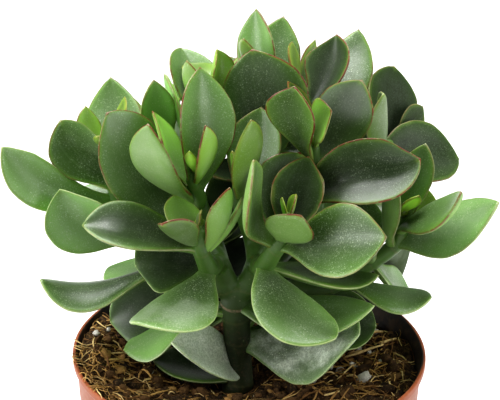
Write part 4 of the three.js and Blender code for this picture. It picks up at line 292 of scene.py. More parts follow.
SOIL_FORM = [[9.5, -57, -7, 12, 14], [10, -55, 24, 9, 11], [6, -46, -33, 12, 10], [-5.8, -5, 0.5, 10, 9], [-2.2, -18, 0, 12, 8], [5.5, 52, 20, 10, 10], [2.5, 52, -8, 9, 14], [1.5, 36, -20, 14, 14], [1.0, 20, -40, 16, 12], [-1.0, -20, 38, 16, 12]]

# ------------------------------------------------------------------ materials


class Tree:
    """Short notation for a node material."""

    def __init__(self, name):
        self.mat = bpy.data.materials.new(name)
        self.mat.use_nodes = True
        self.nt = self.mat.node_tree
        self.nt.nodes.clear()
        self.out = self.nt.nodes.new("ShaderNodeOutputMaterial")
        self.bsdf = self.nt.nodes.new("ShaderNodeBsdfPrincipled")
        self.nt.links.new(self.bsdf.outputs[0], self.out.inputs[0])

    def node(self, kind, **props):
        n = self.nt.nodes.new(kind)
        for k, v in props.items():
            setattr(n, k, v)
        return n

    def put(self, socket, value):
        if isinstance(value, bpy.types.NodeSocket):
            self.nt.links.new(value, socket)
        elif isinstance(value, (tuple, list)) and len(value) == 3 and socket.type == "RGBA":
            socket.default_value = (*value, 1.0)
        else:
            socket.default_value = value

    def math(self, op, a, b=0.0, c=0.0, clamp=False):
        n = self.node("ShaderNodeMath", operation=op, use_clamp=clamp)
        self.put(n.inputs[0], a)
        if len(n.inputs) > 1:
            self.put(n.inputs[1], b)
        if len(n.inputs) > 2:
            self.put(n.inputs[2], c)
        return n.outputs[0]

    def mix(self, f, a, b, blend="MIX"):
        n = self.node("ShaderNodeMix", data_type="RGBA", blend_type=blend)
        self.put(n.inputs[0], f)
        self.put(n.inputs[6], a)
        self.put(n.inputs[7], b)
        return n.outputs[2]

    def ramp(self, x, lo, hi, a=0.0, b=1.0, smooth=True):
        n = self.node("ShaderNodeMapRange", interpolation_type="SMOOTHSTEP" if smooth else "LINEAR")
        self.put(n.inputs[0], x)
        for i, v in enumerate((lo, hi, a, b)):
            self.put(n.inputs[1 + i], v)
        return n.outputs[0]

    def noise(self, scale, detail=2.0, rough=0.5, vec=None, w=None, dist=0.0):
        n = self.node("ShaderNodeTexNoise")
        if w is not None:
            n.noise_dimensions = "4D"
            self.put(n.inputs["W"], w)
        self.put(n.inputs["Vector"], vec if vec is not None else self.obj())
        self.put(n.inputs["Scale"], scale)
        self.put(n.inputs["Detail"], detail)
        self.put(n.inputs["Roughness"], rough)
        self.put(n.inputs["Distortion"], dist)
        return n.outputs[0]

    def voronoi(self, scale, vec=None, feature="F1", rand=1.0):
        n = self.node("ShaderNodeTexVoronoi", feature=feature)
        self.put(n.inputs["Vector"], vec if vec is not None else self.obj())
        self.put(n.inputs["Scale"], scale)
        self.put(n.inputs["Randomness"], rand)
        return n

    def obj(self):
        if not hasattr(self, "_obj"):
            self._obj = self.node("ShaderNodeTexCoord").outputs["Object"]
        return self._obj

    def attr(self, name):
        n = self.node("ShaderNodeAttribute", attribute_name=name)
        s = self.node("ShaderNodeSeparateXYZ")
        self.nt.links.new(n.outputs["Vector"], s.inputs[0])
        return s.outputs[0], s.outputs[1], s.outputs[2]

    def bump(self, height, strength, distance, normal=None):
        n = self.node("ShaderNodeBump")
        self.put(n.inputs["Height"], height)
        n.inputs["Strength"].default_value = strength
        n.inputs["Distance"].default_value = distance
        if normal is not None:
            self.put(n.inputs["Normal"], normal)
        return n.outputs[0]

    def set(self, **k):
        for name, v in k.items():
            self.put(self.bsdf.inputs[name.replace("_", " ")], v)


def leaf_material():
    t = Tree("jade_leaf")
    s, across, side = t.attr("leaf_a")           # station, across (-1..1), side (-1 under, 1 upper)
    edge, red, young = t.attr("leaf_b")          # mm from the margin, redness, youth
    tone, seed, wax_and_painted_sheen = t.attr("leaf_c")          # tone, partly painted light and shade; random number; strength of the waxy veil and painted sheen
    upper = t.ramp(side, -0.25, 0.25)
    big = t.noise(55, 2.0, 0.5, w=t.math("MULTIPLY", seed, 9.0))
    mid = t.noise(230, 3.0, 0.55, w=t.math("MULTIPLY", seed, 5.0))
    # body colour, upper and under side
    deep = t.mix(big, (0.026, 0.062, 0.011), (0.056, 0.118, 0.019))
    under = t.mix(big, (0.112, 0.198, 0.050), (0.168, 0.276, 0.076))
    body = t.mix(upper, under, deep)
    fresh = t.mix(mid, (0.120, 0.235, 0.020), (0.178, 0.312, 0.030))
    body = t.mix(t.math("MULTIPLY", young, 0.9), body, fresh)
    # each leaf's tone, partly its own depth of green and partly painted light and shade: twice
    # the tone in stops, paler when bright, with painted shade deeper towards the foot and the middle of the upper side
    painted_shade = t.math("MULTIPLY", t.ramp(s, 0.10, 0.75, 0.46, 1.16), t.ramp(t.math("ABSOLUTE", across), 0.15, 0.95, 0.76, 1.18))
    gain = t.math("MULTIPLY", t.math("POWER", 4.0, tone), t.ramp(upper, 0.0, 1.0, 1.0, painted_shade, smooth=False))
    cc = t.node("ShaderNodeCombineXYZ")
    for k in range(3):
        t.put(cc.inputs[k], gain)
    body = t.mix(1.0, body, cc.outputs[0], "MULTIPLY")
    body = t.mix(t.math("MULTIPLY", t.ramp(tone, 0.0, 1.2, 0.0, 0.26, smooth=False), t.ramp(young, 0.2, 0.8, 1.0, 0.1)), body, (0.270, 0.335, 0.215))
    lit = t.ramp(tone, -1.0, -0.2, 0.22, 1.0)
    # painted light glowing through the flesh: brighter and yellower towards the margin
    painted_margin_light = t.math("MULTIPLY", t.math("MULTIPLY", t.ramp(edge, 6.0, 0.8, smooth=False), lit), t.ramp(mid, 0.2, 0.75, 0.16, 0.42))
    body = t.mix(painted_margin_light, body, t.mix(young, (0.095, 0.200, 0.024), (0.235, 0.365, 0.030)))
    # a narrower painted glow right at the margin
    painted_edge_glow = t.math("MULTIPLY", t.math("MULTIPLY", t.ramp(edge, 2.0, 0.4), lit), t.ramp(mid, 0.2, 0.75, 0.40, 0.80))
    body = t.mix(painted_edge_glow, body, t.mix(young, (0.150, 0.290, 0.034), (0.280, 0.400, 0.038)))
    # fine veins that run along the leaf
    vein = t.node("ShaderNodeCombineXYZ")
    t.put(vein.inputs[0], t.math("MULTIPLY", s, 1.3))
    t.put(vein.inputs[1], t.math("MULTIPLY", across, 15.0))
    t.put(vein.inputs[2], seed)
    streak = t.noise(1.0, 3.0, 0.6, vec=vein.outputs[0])
    body = t.mix(t.ramp(streak, 0.50, 0.72, 0.0, t.ramp(tone, -1.0, 0.5, 0.02, 0.24)), body, (0.170, 0.280, 0.105))
    # dense fine pale specks
    v = t.voronoi(1400)
    speck = t.math("MULTIPLY", t.ramp(v.outputs["Distance"], 0.46, 0.12), t.ramp(v.outputs["Color"], 0.30, 0.80))
    v2 = t.voronoi(2700)
    fine = t.math("MULTIPLY", t.ramp(v2.outputs["Distance"], 0.50, 0.12), t.ramp(v2.outputs["Color"], 0.2, 0.8, 0.15, 0.80))
    speck = t.math("MAXIMUM", speck, fine)
    speck = t.math("MULTIPLY", speck, t.ramp(t.noise(120, 2.0, 0.6), 0.34, 0.66, 0.30, 1.0))
    amount = t.math("ADD", t.ramp(young, 0.2, 0.9, 0.34, 0.24), t.math("MULTIPLY", wax_and_painted_sheen, 0.62), clamp=True)
    speck = t.math("MULTIPLY", speck, t.math("MULTIPLY", amount, t.ramp(tone, -1.0, 0.1, 0.10, 1.0)))
    body = t.mix(speck, body, (0.52, 0.62, 0.42))
    # waxy bloom and painted sheen: soft pale veil, patchy, strongest away from the margin, near white where it is a
    # painted reflection
    bloom_and_sheen_patch = t.math("MULTIPLY", t.ramp(t.noise(60, 3.0, 0.6, w=t.math("MULTIPLY", seed, 3.0)), 0.38, 0.62), t.ramp(edge, 0.8, 5.5, 0.45, 1.0))
    bright_painted_sheen = t.ramp(wax_and_painted_sheen, 0.45, 0.86, 0.0, 0.96)
    bloom_and_sheen_patch = t.math("MAXIMUM", bloom_and_sheen_patch, t.ramp(wax_and_painted_sheen, 0.8, 1.0, 0.0, 0.70))
    bloom_and_painted_sheen = t.math("MULTIPLY", bloom_and_sheen_patch, t.math("ADD", t.ramp(upper, 0.0, 1.0, 0.20, t.ramp(young, 0.1, 0.8, 0.06, 0.02), smooth=False), bright_painted_sheen), clamp=True)
    grain = t.ramp(t.noise(1500, 2.0, 0.6), 0.36, 0.64)
    bloom_and_painted_sheen = t.math("MULTIPLY", bloom_and_painted_sheen, t.ramp(grain, 0.0, 1.0, 0.62, 1.0))
    # pale veil colour, near white where the painted reflection is strongest
    body = t.mix(bloom_and_painted_sheen, body, t.mix(bright_painted_sheen, (0.42, 0.47, 0.38), (0.86, 0.92, 0.80)))
    # margin: pale keel, red-brown dotted line where the leaf had sun
    line = t.ramp(edge, 0.55, 0.22)
    pale = t.math("MULTIPLY", line, t.math("MULTIPLY", t.ramp(mid, 0.3, 0.6, 0.35, 0.85), t.ramp(red, 0.1, 0.5, 1.0, 0.35)))
    body = t.mix(pale, body, t.mix(young, (0.42, 0.50, 0.24), (0.48, 0.60, 0.08)))
    dots = t.math("MULTIPLY", t.ramp(t.noise(620, 2.0, 0.6), 0.33, 0.50, 0.35, 1.0), t.ramp(t.noise(140, 2.0, 0.5, w=seed), 0.34, 0.60, 0.35, 1.0))
    redline = t.math("MULTIPLY", t.math("MULTIPLY", t.ramp(edge, 0.70, 0.36), dots), t.math("MULTIPLY", red, 1.45), clamp=True)
    body = t.mix(redline, body, t.mix(mid, (0.085, 0.018, 0.010), (0.240, 0.062, 0.026)))
    blush = t.math("MULTIPLY", t.math("MULTIPLY", t.ramp(edge, 1.8, 0.5), red), t.ramp(mid, 0.4, 0.8, 0.0, 0.28))
    body = t.mix(blush, body, (0.270, 0.160, 0.030))
    # paler, yellower foot of the leaf
    body = t.mix(t.ramp(s, 0.20, 0.03, 0.0, 0.50), body, (0.130, 0.260, 0.040))
    t.set(Base_Color=body)
    # leaves low in the shade are dull
    dull = t.ramp(tone, -0.45, -0.9)
    rough = t.math("ADD", t.math("ADD", t.ramp(mid, 0.2, 0.8, 0.28, 0.40), t.math("MULTIPLY", bloom_and_painted_sheen, 0.30)), t.math("MULTIPLY", dull, 0.30))
    t.set(Roughness=rough)
    t.set(**{"Specular_IOR_Level": t.ramp(dull, 0.0, 1.0, 0.46, 0.12), "Coat_Weight": t.ramp(dull, 0.0, 1.0, 0.26, 0.0)})
    b = t.bsdf
    b.inputs["IOR"].default_value = 1.46
    b.inputs["Subsurface Weight"].default_value = 0.12
    b.inputs["Subsurface Radius"].default_value = (0.5, 1.0, 0.2)
    b.inputs["Subsurface Scale"].default_value = 0.0018
    b.inputs["Coat Roughness"].default_value = 0.27
    h = t.math("ADD", t.math("MULTIPLY", t.noise(2600, 2.0, 0.6), 0.4), t.math("MULTIPLY", speck, -0.25))
    h = t.math("ADD", h, t.math("MULTIPLY", t.noise(420, 2.0, 0.5), 0.9))
    t.set(Normal=t.bump(h, 0.35, 0.00022))
    return t.mat


def stem_material():
    t = Tree("jade_stem")
    along, up, scar = t.attr("stem_a")           # mm from the nearest leaf node, height 0..1 in the crown, old scar
    n = t.noise(150, 3.0, 0.6)
    f = t.noise(900, 3.0, 0.6)
    green = t.mix(n, (0.048, 0.110, 0.016), (0.092, 0.190, 0.030))
    # the stem is darker towards its foot
    dark_low = t.mix(n, (0.018, 0.028, 0.012), (0.050, 0.066, 0.026))
    c = t.mix(up, dark_low, green)
    # bark that starts to cork at the foot
    c = t.mix(t.math("MULTIPLY", t.ramp(f, 0.50, 0.70), t.ramp(up, 0.45, 0.0, 0.0, 0.55)), c, (0.110, 0.085, 0.048))
    # faint leaf scars round the stem at the nodes
    ring = t.math("MULTIPLY", t.ramp(along, 0.70, 0.25), t.ramp(f, 0.3, 0.6, 0.35, 1.0))
    c = t.mix(t.math("MULTIPLY", ring, t.ramp(scar, 0.0, 1.0, 0.30, 0.90)), c, t.mix(scar, (0.160, 0.170, 0.070), (0.330, 0.245, 0.160)))
    v = t.voronoi(620)
    lent = t.math("MULTIPLY", t.ramp(v.outputs["Distance"], 0.28, 0.1), t.ramp(v.outputs["Color"], 0.6, 0.9))
    c = t.mix(t.math("MULTIPLY", lent, 0.40), c, (0.250, 0.290, 0.150))
    t.set(Base_Color=c, Roughness=t.ramp(f, 0.2, 0.8, 0.36, 0.55))
    t.bsdf.inputs["Subsurface Weight"].default_value = 0.08
    t.bsdf.inputs["Subsurface Scale"].default_value = 0.002
    h = t.math("ADD", t.noise(500, 3.0, 0.6), t.math("MULTIPLY", t.noise(2400, 2.0, 0.5), 0.4))
    t.set(Normal=t.bump(h, 0.4, 0.0003))
    return t.mat


def pot_material():
    t = Tree("nursery_pot_plastic")
    n = t.noise(38, 3.0, 0.55)
    f = t.noise(420, 3.0, 0.6)
    c = t.mix(n, (0.225, 0.052, 0.014), (0.290, 0.076, 0.022))
    c = t.mix(t.ramp(f, 0.45, 0.8, 0.0, 0.30), c, (0.340, 0.110, 0.040))
    crest_highlight, inside, low = t.attr("pot_a")         # 1 on the crest of the rim where a highlight is painted, 1 on the inner wall, height 0..1
    # a painted highlight along the crest of the rim
    c = t.mix(t.math("MULTIPLY", crest_highlight, t.ramp(f, 0.3, 0.7, 0.10, 0.45)), c, (0.480, 0.160, 0.062))
    dust = t.math("MULTIPLY", t.ramp(t.noise(260, 4.0, 0.7), 0.56, 0.75), t.ramp(low, 0.0, 0.35, 0.22, 0.06))
    c = t.mix(dust, c, (0.420, 0.250, 0.160))
    # faint scuffs that run round the wall
    sc = t.node("ShaderNodeMapping")
    t.put(sc.inputs["Vector"], t.obj())
    sc.inputs["Scale"].default_value = (1.0, 1.0, 14.0)
    scuff = t.ramp(t.noise(150, 3.0, 0.7, vec=sc.outputs[0]), 0.60, 0.74)
    c = t.mix(t.math("MULTIPLY", scuff, 0.20), c, (0.460, 0.190, 0.095))
    # the inner wall is dark, with soil wash clinging to it
    dark = t.mix(n, (0.010, 0.008, 0.007), (0.024, 0.017, 0.013))
    wash = t.ramp(t.noise(150, 4.0, 0.65), 0.46, 0.66, 0.0, 0.75)
    dark = t.mix(wash, dark, t.mix(f, (0.030, 0.017, 0.009), (0.110, 0.060, 0.026)))
    c = t.mix(inside, c, dark)
    t.set(Base_Color=c)
    t.set(Roughness=t.math("ADD", t.ramp(f, 0.2, 0.8, 0.40, 0.52), t.math("MULTIPLY", scuff, 0.12)))
    t.bsdf.inputs["Specular IOR Level"].default_value = 0.35
    h = t.math("ADD", t.math("MULTIPLY", t.noise(1500, 2.0, 0.6), 0.5), t.math("MULTIPLY", scuff, -0.3))
    t.set(Normal=t.bump(h, 0.25, 0.0002))
    return t.mat


def soil_material():
    t = Tree("peat_soil")
    n = t.noise(140, 4.0, 0.65)
    f = t.noise(900, 4.0, 0.7)
    c = t.mix(n, (0.008, 0.005, 0.003), (0.070, 0.036, 0.014))
    c = t.mix(t.ramp(f, 0.46, 0.7, 0.0, 0.8), c, (0.230, 0.130, 0.046))
    c = t.mix(t.ramp(t.noise(2600, 2.0, 0.6), 0.60, 0.72, 0.0, 0.6), c, (0.330, 0.205, 0.088))
    t.set(Base_Color=c, Roughness=t.ramp(f, 0.2, 0.8, 0.75, 1.0))
    t.bsdf.inputs["Specular IOR Level"].default_value = 0.25
    t.set(Normal=t.bump(t.math("ADD", t.noise(1300, 4.0, 0.7), t.math("MULTIPLY", n, 0.8)), 0.9, 0.0008))
    return t.mat


def crumb_material():
    t = Tree("peat_crumbs")
    r, k, _ = t.attr("bit")
    f = t.noise(1100, 4.0, 0.65)
    c = t.mix(r, (0.012, 0.007, 0.003), (0.140, 0.072, 0.025))
    c = t.mix(t.ramp(k, 0.50, 0.8), c, (0.420, 0.240, 0.080))
    c = t.mix(t.ramp(f, 0.5, 0.72, 0.0, 0.65), c, (0.240, 0.135, 0.055))
    t.set(Base_Color=c, Roughness=t.ramp(f, 0.2, 0.8, 0.7, 0.95))
    t.bsdf.inputs["Specular IOR Level"].default_value = 0.25
    t.set(Normal=t.bump(t.noise(1800, 4.0, 0.7), 0.8, 0.0006))
    return t.mat


def fibre_material():
    t = Tree("coir_fibre")
    r, along, k = t.attr("bit")
    f = t.noise(1500, 3.0, 0.6)
    c = t.mix(r, (0.170, 0.076, 0.020), (0.700, 0.430, 0.130))
    c = t.mix(t.ramp(k, 0.74, 0.9), c, (0.860, 0.640, 0.280))
    c = t.mix(t.ramp(f, 0.42, 0.7, 0.0, 0.35), c, (0.110, 0.054, 0.018))
    t.set(Base_Color=c, Roughness=t.ramp(f, 0.2, 0.8, 0.55, 0.8))
    t.bsdf.inputs["Specular IOR Level"].default_value = 0.35
    t.set(Normal=t.bump(t.noise(2600, 2.0, 0.6), 0.5, 0.0003))
    return t.mat


def perlite_material():
    t = Tree("perlite")
    n = t.noise(520, 4.0, 0.65)
    v = t.voronoi(1500, feature="DISTANCE_TO_EDGE")
    c = t.mix(n, (0.520, 0.480, 0.400), (0.820, 0.800, 0.740))
    c = t.mix(t.ramp(t.noise(300, 3.0, 0.6), 0.56, 0.74, 0.0, 0.6), c, (0.230, 0.160, 0.095))
    t.set(Base_Color=c, Roughness=t.ramp(n, 0.2, 0.8, 0.7, 0.95))
    h = t.math("ADD", t.math("MULTIPLY", t.ramp(v.outputs["Distance"], 0.0, 0.3), 0.7), n)
    t.set(Normal=t.bump(h, 0.7, 0.0005))
    return t.mat


# -------------------------------------------------------------------- geometry


def smooth_table(xs, ys):
    """Shape-preserving cubic through a table."""
    x, y = np.array(xs, float), np.array(ys, float)
    h = np.diff(x)
    s = np.diff(y) / h
    n = len(x)
    d = np.zeros(n)
    for i in range(1, n - 1):
        if s[i - 1] * s[i] > 0:
            a, b = 2 * h[i] + h[i - 1], h[i] + 2 * h[i - 1]
            d[i] = (a + b) / (a / s[i - 1] + b / s[i])

    def end(h0, h1, s0, s1):
        e = ((2 * h0 + h1) * s0 - h0 * s1) / (h0 + h1)
        if np.sign(e) != np.sign(s0):
            return 0.0
        if np.sign(s0) != np.sign(s1) and abs(e) > 3 * abs(s0):
            return 3 * s0
        return e

    d[0] = end(h[0], h[1], s[0], s[1])
    d[-1] = end(h[-1], h[-2], s[-1], s[-2])

    def f(q):
        q = np.clip(np.asarray(q, float), x[0], x[-1])
        i = np.clip(np.searchsorted(x, q) - 1, 0, n - 2)
        t = (q - x[i]) / h[i]
        return (y[i] * (2 * t**3 - 3 * t**2 + 1) + h[i] * d[i] * (t**3 - 2 * t**2 + t)
                + y[i + 1] * (-2 * t**3 + 3 * t**2) + h[i] * d[i + 1] * (t**3 - t**2))

    return f


OUT_S = [0, 0.08, 0.2, 0.35, 0.5, 0.62, 0.75, 0.86, 0.94, 0.98, 1]
BLUNT = smooth_table(OUT_S, [0.20, 0.25, 0.44, 0.72, 0.93, 1, 0.95, 0.74, 0.43, 0.20, 0])
POINTED = smooth_table(OUT_S, [0.20, 0.25, 0.46, 0.76, 0.96, 1, 0.88, 0.60, 0.29, 0.11, 0])
THICK = smooth_table([0, 0.1, 0.3, 0.6, 0.85, 0.95, 1], [1.15, 1.05, 1, 0.95, 0.75, 0.55, 0.25])


def unit(v):
    return v / np.linalg.norm(v, axis=-1, keepdims=True)


def new_piece(name, verts, faces, mat, attrs=None, smooth=True):
    """A mesh piece in metres that rides on the plant's only body."""
    me = bpy.data.meshes.new(name)
    me.from_pydata([tuple(map(float, v)) for v in verts], [], [tuple(map(int, f)) for f in faces])
    me.validate()
    for key, val in (attrs or {}).items():
        a = me.attributes.new(key, "FLOAT_VECTOR", "POINT")
        a.data.foreach_set("vector", np.ascontiguousarray(val, np.float32).ravel())
    if smooth:
        me.shade_smooth()
    me.materials.append(mat)
    me.update()
    o = bpy.data.objects.new(name, me)
    bpy.context.scene.collection.objects.link(o)
    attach(o, "root")
    return o


def value_noise(rng, n=64):
    """Seeded smooth 2-D noise on a repeating lattice, -1 to 1."""
    g = rng.uniform(-1, 1, (n, n))

    def f(x, y):
        xi, yi = np.floor(x).astype(int), np.floor(y).astype(int)
        fx, fy = x - xi, y - yi
        fx, fy = fx * fx * (3 - 2 * fx), fy * fy * (3 - 2 * fy)
        a, b = g[xi % n, yi % n], g[(xi + 1) % n, yi % n]
        c, d = g[xi % n, (yi + 1) % n], g[(xi + 1) % n, (yi + 1) % n]
        return a * (1 - fx) * (1 - fy) + b * fx * (1 - fy) + c * (1 - fx) * fy + d * fx * fy

    return f


# ---- leaves
TH_DEG = [0, 3.5, 8, 14, 22, 32, 43, 55, 67, 78.5, 90]
THETA = np.radians(TH_DEG + [180 - a for a in TH_DEG[-2::-1]] + [180 + a for a in TH_DEG[1:]] + [360 - a for a in TH_DEG[-2:0:-1]])


def leaf_mesh(v, seed, seen):
    """Vertices (mm), faces and per-vertex looks of one fleshy leaf."""
    base, tip, up = (np.array(v[i:i + 3], float) for i in (0, 3, 6))
    roll, width, arch, arch2, bend, fold, twist, power, point, th0, red, young, tone, wax_and_painted_sheen = v[9:23]
    rng = np.random.default_rng(SEED * 1000 + seed)
    L = np.linalg.norm(tip - base)
    d = (tip - base) / L
    n = unit(up - up @ d * d)
    b = np.cross(d, n)
    count = 46 if L > 24 else (34 if L > 14 else 24)
    if not seen:
        count = int(count * 0.7)
    q = np.linspace(0, 1, count)
    S = 0.55 * q + 0.45 * 0.5 * (1 - np.cos(np.pi * q))
    S = S[:-1]                                    # the tip is one point
    s = S[:, None]
    C = base + L * (s * d + (arch * s * (1 - s) + arch2 * s * (1 - s) * (1 - 2 * s)) * n + bend * s * (1 - s) * b)
    t = unit(d + (arch * (1 - 2 * s) + arch2 * (1 - 6 * s + 6 * s * s)) * n + bend * (1 - 2 * s) * b)
    ns = unit(n - (t @ n)[:, None] * t)
    bs = np.cross(t, ns)
    r = (roll + twist * (S - 0.5))[:, None]
    N = np.cos(r) * ns + np.sin(r) * bs
    X = -np.sin(r) * ns + np.cos(r) * bs
    sm = S ** power
    w = 0.5 * width * ((1 - point) * BLUNT(sm) + point * POINTED(sm))
    th = th0 * THICK(S)
    theta = THETA
    ct, st = np.cos(theta), np.sin(theta)
    ct[np.abs(ct) < 1e-9] = 0
    st[np.abs(st) < 1e-9] = 0
    e = 2 / 2.4
    xx = np.sign(ct) * np.abs(ct) ** e
    yy = np.sign(st) * np.abs(st) ** e
    ep = 0.35
    lift = (np.sqrt(xx**2 + ep**2) - ep) / (np.sqrt(1 + ep**2) - ep)
    # fine keel along the margin, and soft unevenness of the flesh
    keel = np.exp(-(np.degrees(np.arcsin(np.clip(np.abs(st), 0, 1))) / 6.0) ** 2)
    ws = w[:, None] * (1 + 0.0 * xx[None])
    wave = value_noise(rng)
    wob = wave(S[:, None] * 5.0 + 3.1, xx[None] * 1.6 + 0.0 * s) * 0.16 * np.minimum(1, th[:, None] / 2.5)
    groove = -0.13 * np.exp(-(xx[None] / 0.16) ** 2) * np.clip(1 - s / 0.7, 0, 1) * (yy[None] > 0)
    z = 0.5 * th[:, None] * np.where(yy > 0, 0.75, 1.25)[None] * yy[None] + (wob + groove) * np.abs(yy)[None]
    side = ws * xx[None] + (0.20 * keel * np.sign(xx))[None] * np.minimum(1, w / 2.0)[:, None]
    edgewave = 1 + 0.012 * wave(S * 9.0 + 11, np.zeros_like(S))[:, None]
    side = side * edgewave
    P = (C[:, None] + (side * np.cos(fold))[..., None] * X[:, None]
         + ((w[:, None] * lift[None] * np.sin(fold)) + z)[..., None] * N[:, None])
    ns_, k = P.shape[:2]
    # distance from the keel in mm
    i0, i1 = 0, len(TH_DEG) * 2 - 2
    dist = np.minimum(np.linalg.norm(P - P[:, i0:i0 + 1], axis=-1), np.linalg.norm(P - P[:, i1:i1 + 1], axis=-1))
    tipd = np.linalg.norm(P - tip, axis=-1)
    dist = np.minimum(dist, tipd * 0.8)
    mucro = tip + d * 0.35 * min(1, L / 30)
    V = np.concatenate([P.reshape(-1, 3), mucro[None], C[0][None]])
    F = []
    for i in range(ns_ - 1):
        for j in range(k):
            j2 = (j + 1) % k
            F.append((i * k + j, i * k + j2, (i + 1) * k + j2, (i + 1) * k + j))
    ti, bi = ns_ * k, ns_ * k + 1
    for j in range(k):
        j2 = (j + 1) % k
        F.append(((ns_ - 1) * k + j, (ns_ - 1) * k + j2, ti))
        F.append((bi, j2, j))
    F = outward(V, F)
    rnd = rng.uniform()
    A = np.stack([np.broadcast_to(S[:, None], (ns_, k)), np.broadcast_to(xx[None], (ns_, k)), np.broadcast_to(st[None], (ns_, k))], -1).reshape(-1, 3)
    A = np.concatenate([A, [[1, 0, 0], [0, 0, 0]]])
    B = np.stack([dist, np.full((ns_, k), red), np.full((ns_, k), young)], -1).reshape(-1, 3)
    B = np.concatenate([B, [[0, red, young], [3, red, young]]])
    Cc = np.tile([tone, rnd, wax_and_painted_sheen], (len(V), 1))
    return V, F, A, B, Cc


def outward(V, F):
    V = np.asarray(V)
    vol = 0.0
    for f in F:
        a = V[f[0]]
        for i in range(1, len(f) - 1):
            vol += np.dot(a, np.cross(V[f[i]], V[f[i + 1]]))
    return [tuple(reversed(f)) for f in F] if vol < 0 else F


def leaves():
    mat = leaf_material()
    seed = 0
    for node, rows in LEAF_NODES.items():
        V, F, A, B, C = [], [], [], [], []
        off = 0
        for row in rows:
            seed += 1
            v, f, a, b, c = leaf_mesh(row[1:], seed, row[0])
            V.append(v), A.append(a), B.append(b), C.append(c)
            F += [tuple(i + off for i in q) for q in f]
            off += len(v)
        if node.endswith("_tip"):
            # the bud between the youngest leaves
            base = np.mean([r[1:4] for r in rows], axis=0)
            up = unit(np.mean([np.array(r[4:7]) - np.array(r[1:4]) for r in rows], axis=0))
            v, f = bud_mesh(base, up, 1.5, 4.2)
            V.append(v)
            A.append(np.tile([0.3, 0.0, 0.5], (len(v), 1)))
            B.append(np.tile([1.2, 0.3, 1.0], (len(v), 1)))
            C.append(np.tile([-0.45, 0.5, 0.0], (len(v), 1)))
            F += [tuple(i + off for i in q) for q in f]
        o = new_piece(node + "_leaf_skin", np.concatenate(V) * MM, F, mat,
                      dict(leaf_a=np.concatenate(A), leaf_b=np.concatenate(B), leaf_c=np.concatenate(C)))
        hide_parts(node)


def bud_mesh(at, up, r, h, sides=14, rings=9):
    a = np.array([1.0, 0.2, 0.1])
    u = unit(a - a @ up * up)
    w = np.cross(up, u)
    V, F = [at - up * h * 0.35], []
    for i in range(1, rings):
        q = i / rings
        rad = r * math.sin(math.pi * q ** 1.25) ** 0.8
        for j in range(sides):
            g = 2 * math.pi * j / sides
            V.append(at + up * h * (q * 1.35 - 0.35) + rad * (math.cos(g) * u * 1.15 + math.sin(g) * w * 0.85))
    V.append(at + up * h)
    for j in range(sides):
        j2 = (j + 1) % sides
        F.append((0, 1 + j2, 1 + j))
        for i in range(rings - 2):
            a0 = 1 + i * sides
            F.append((a0 + j, a0 + j2, a0 + sides + j2, a0 + sides + j))
        F.append((1 + (rings - 2) * sides + j, 1 + (rings - 2) * sides + j2, len(V) - 1))
    return np.array(V), outward(np.array(V), F)


# ---- stems
def catmull(P, n):
    P = np.array(P, float)
    Q = np.concatenate([[2 * P[0] - P[1]], P, [2 * P[-1] - P[-2]]])
    out, idx = [], []
    for i in range(1, len(Q) - 2):
        for k in range(n):
            t = k / n
            a, b, c, d = Q[i - 1], Q[i], Q[i + 1], Q[i + 2]
            out.append(0.5 * ((2 * b) + (-a + c) * t + (2 * a - 5 * b + 4 * c - d) * t * t + (-a + 3 * b - 3 * c + d) * t**3))
    out.append(Q[-2])
    return np.array(out)


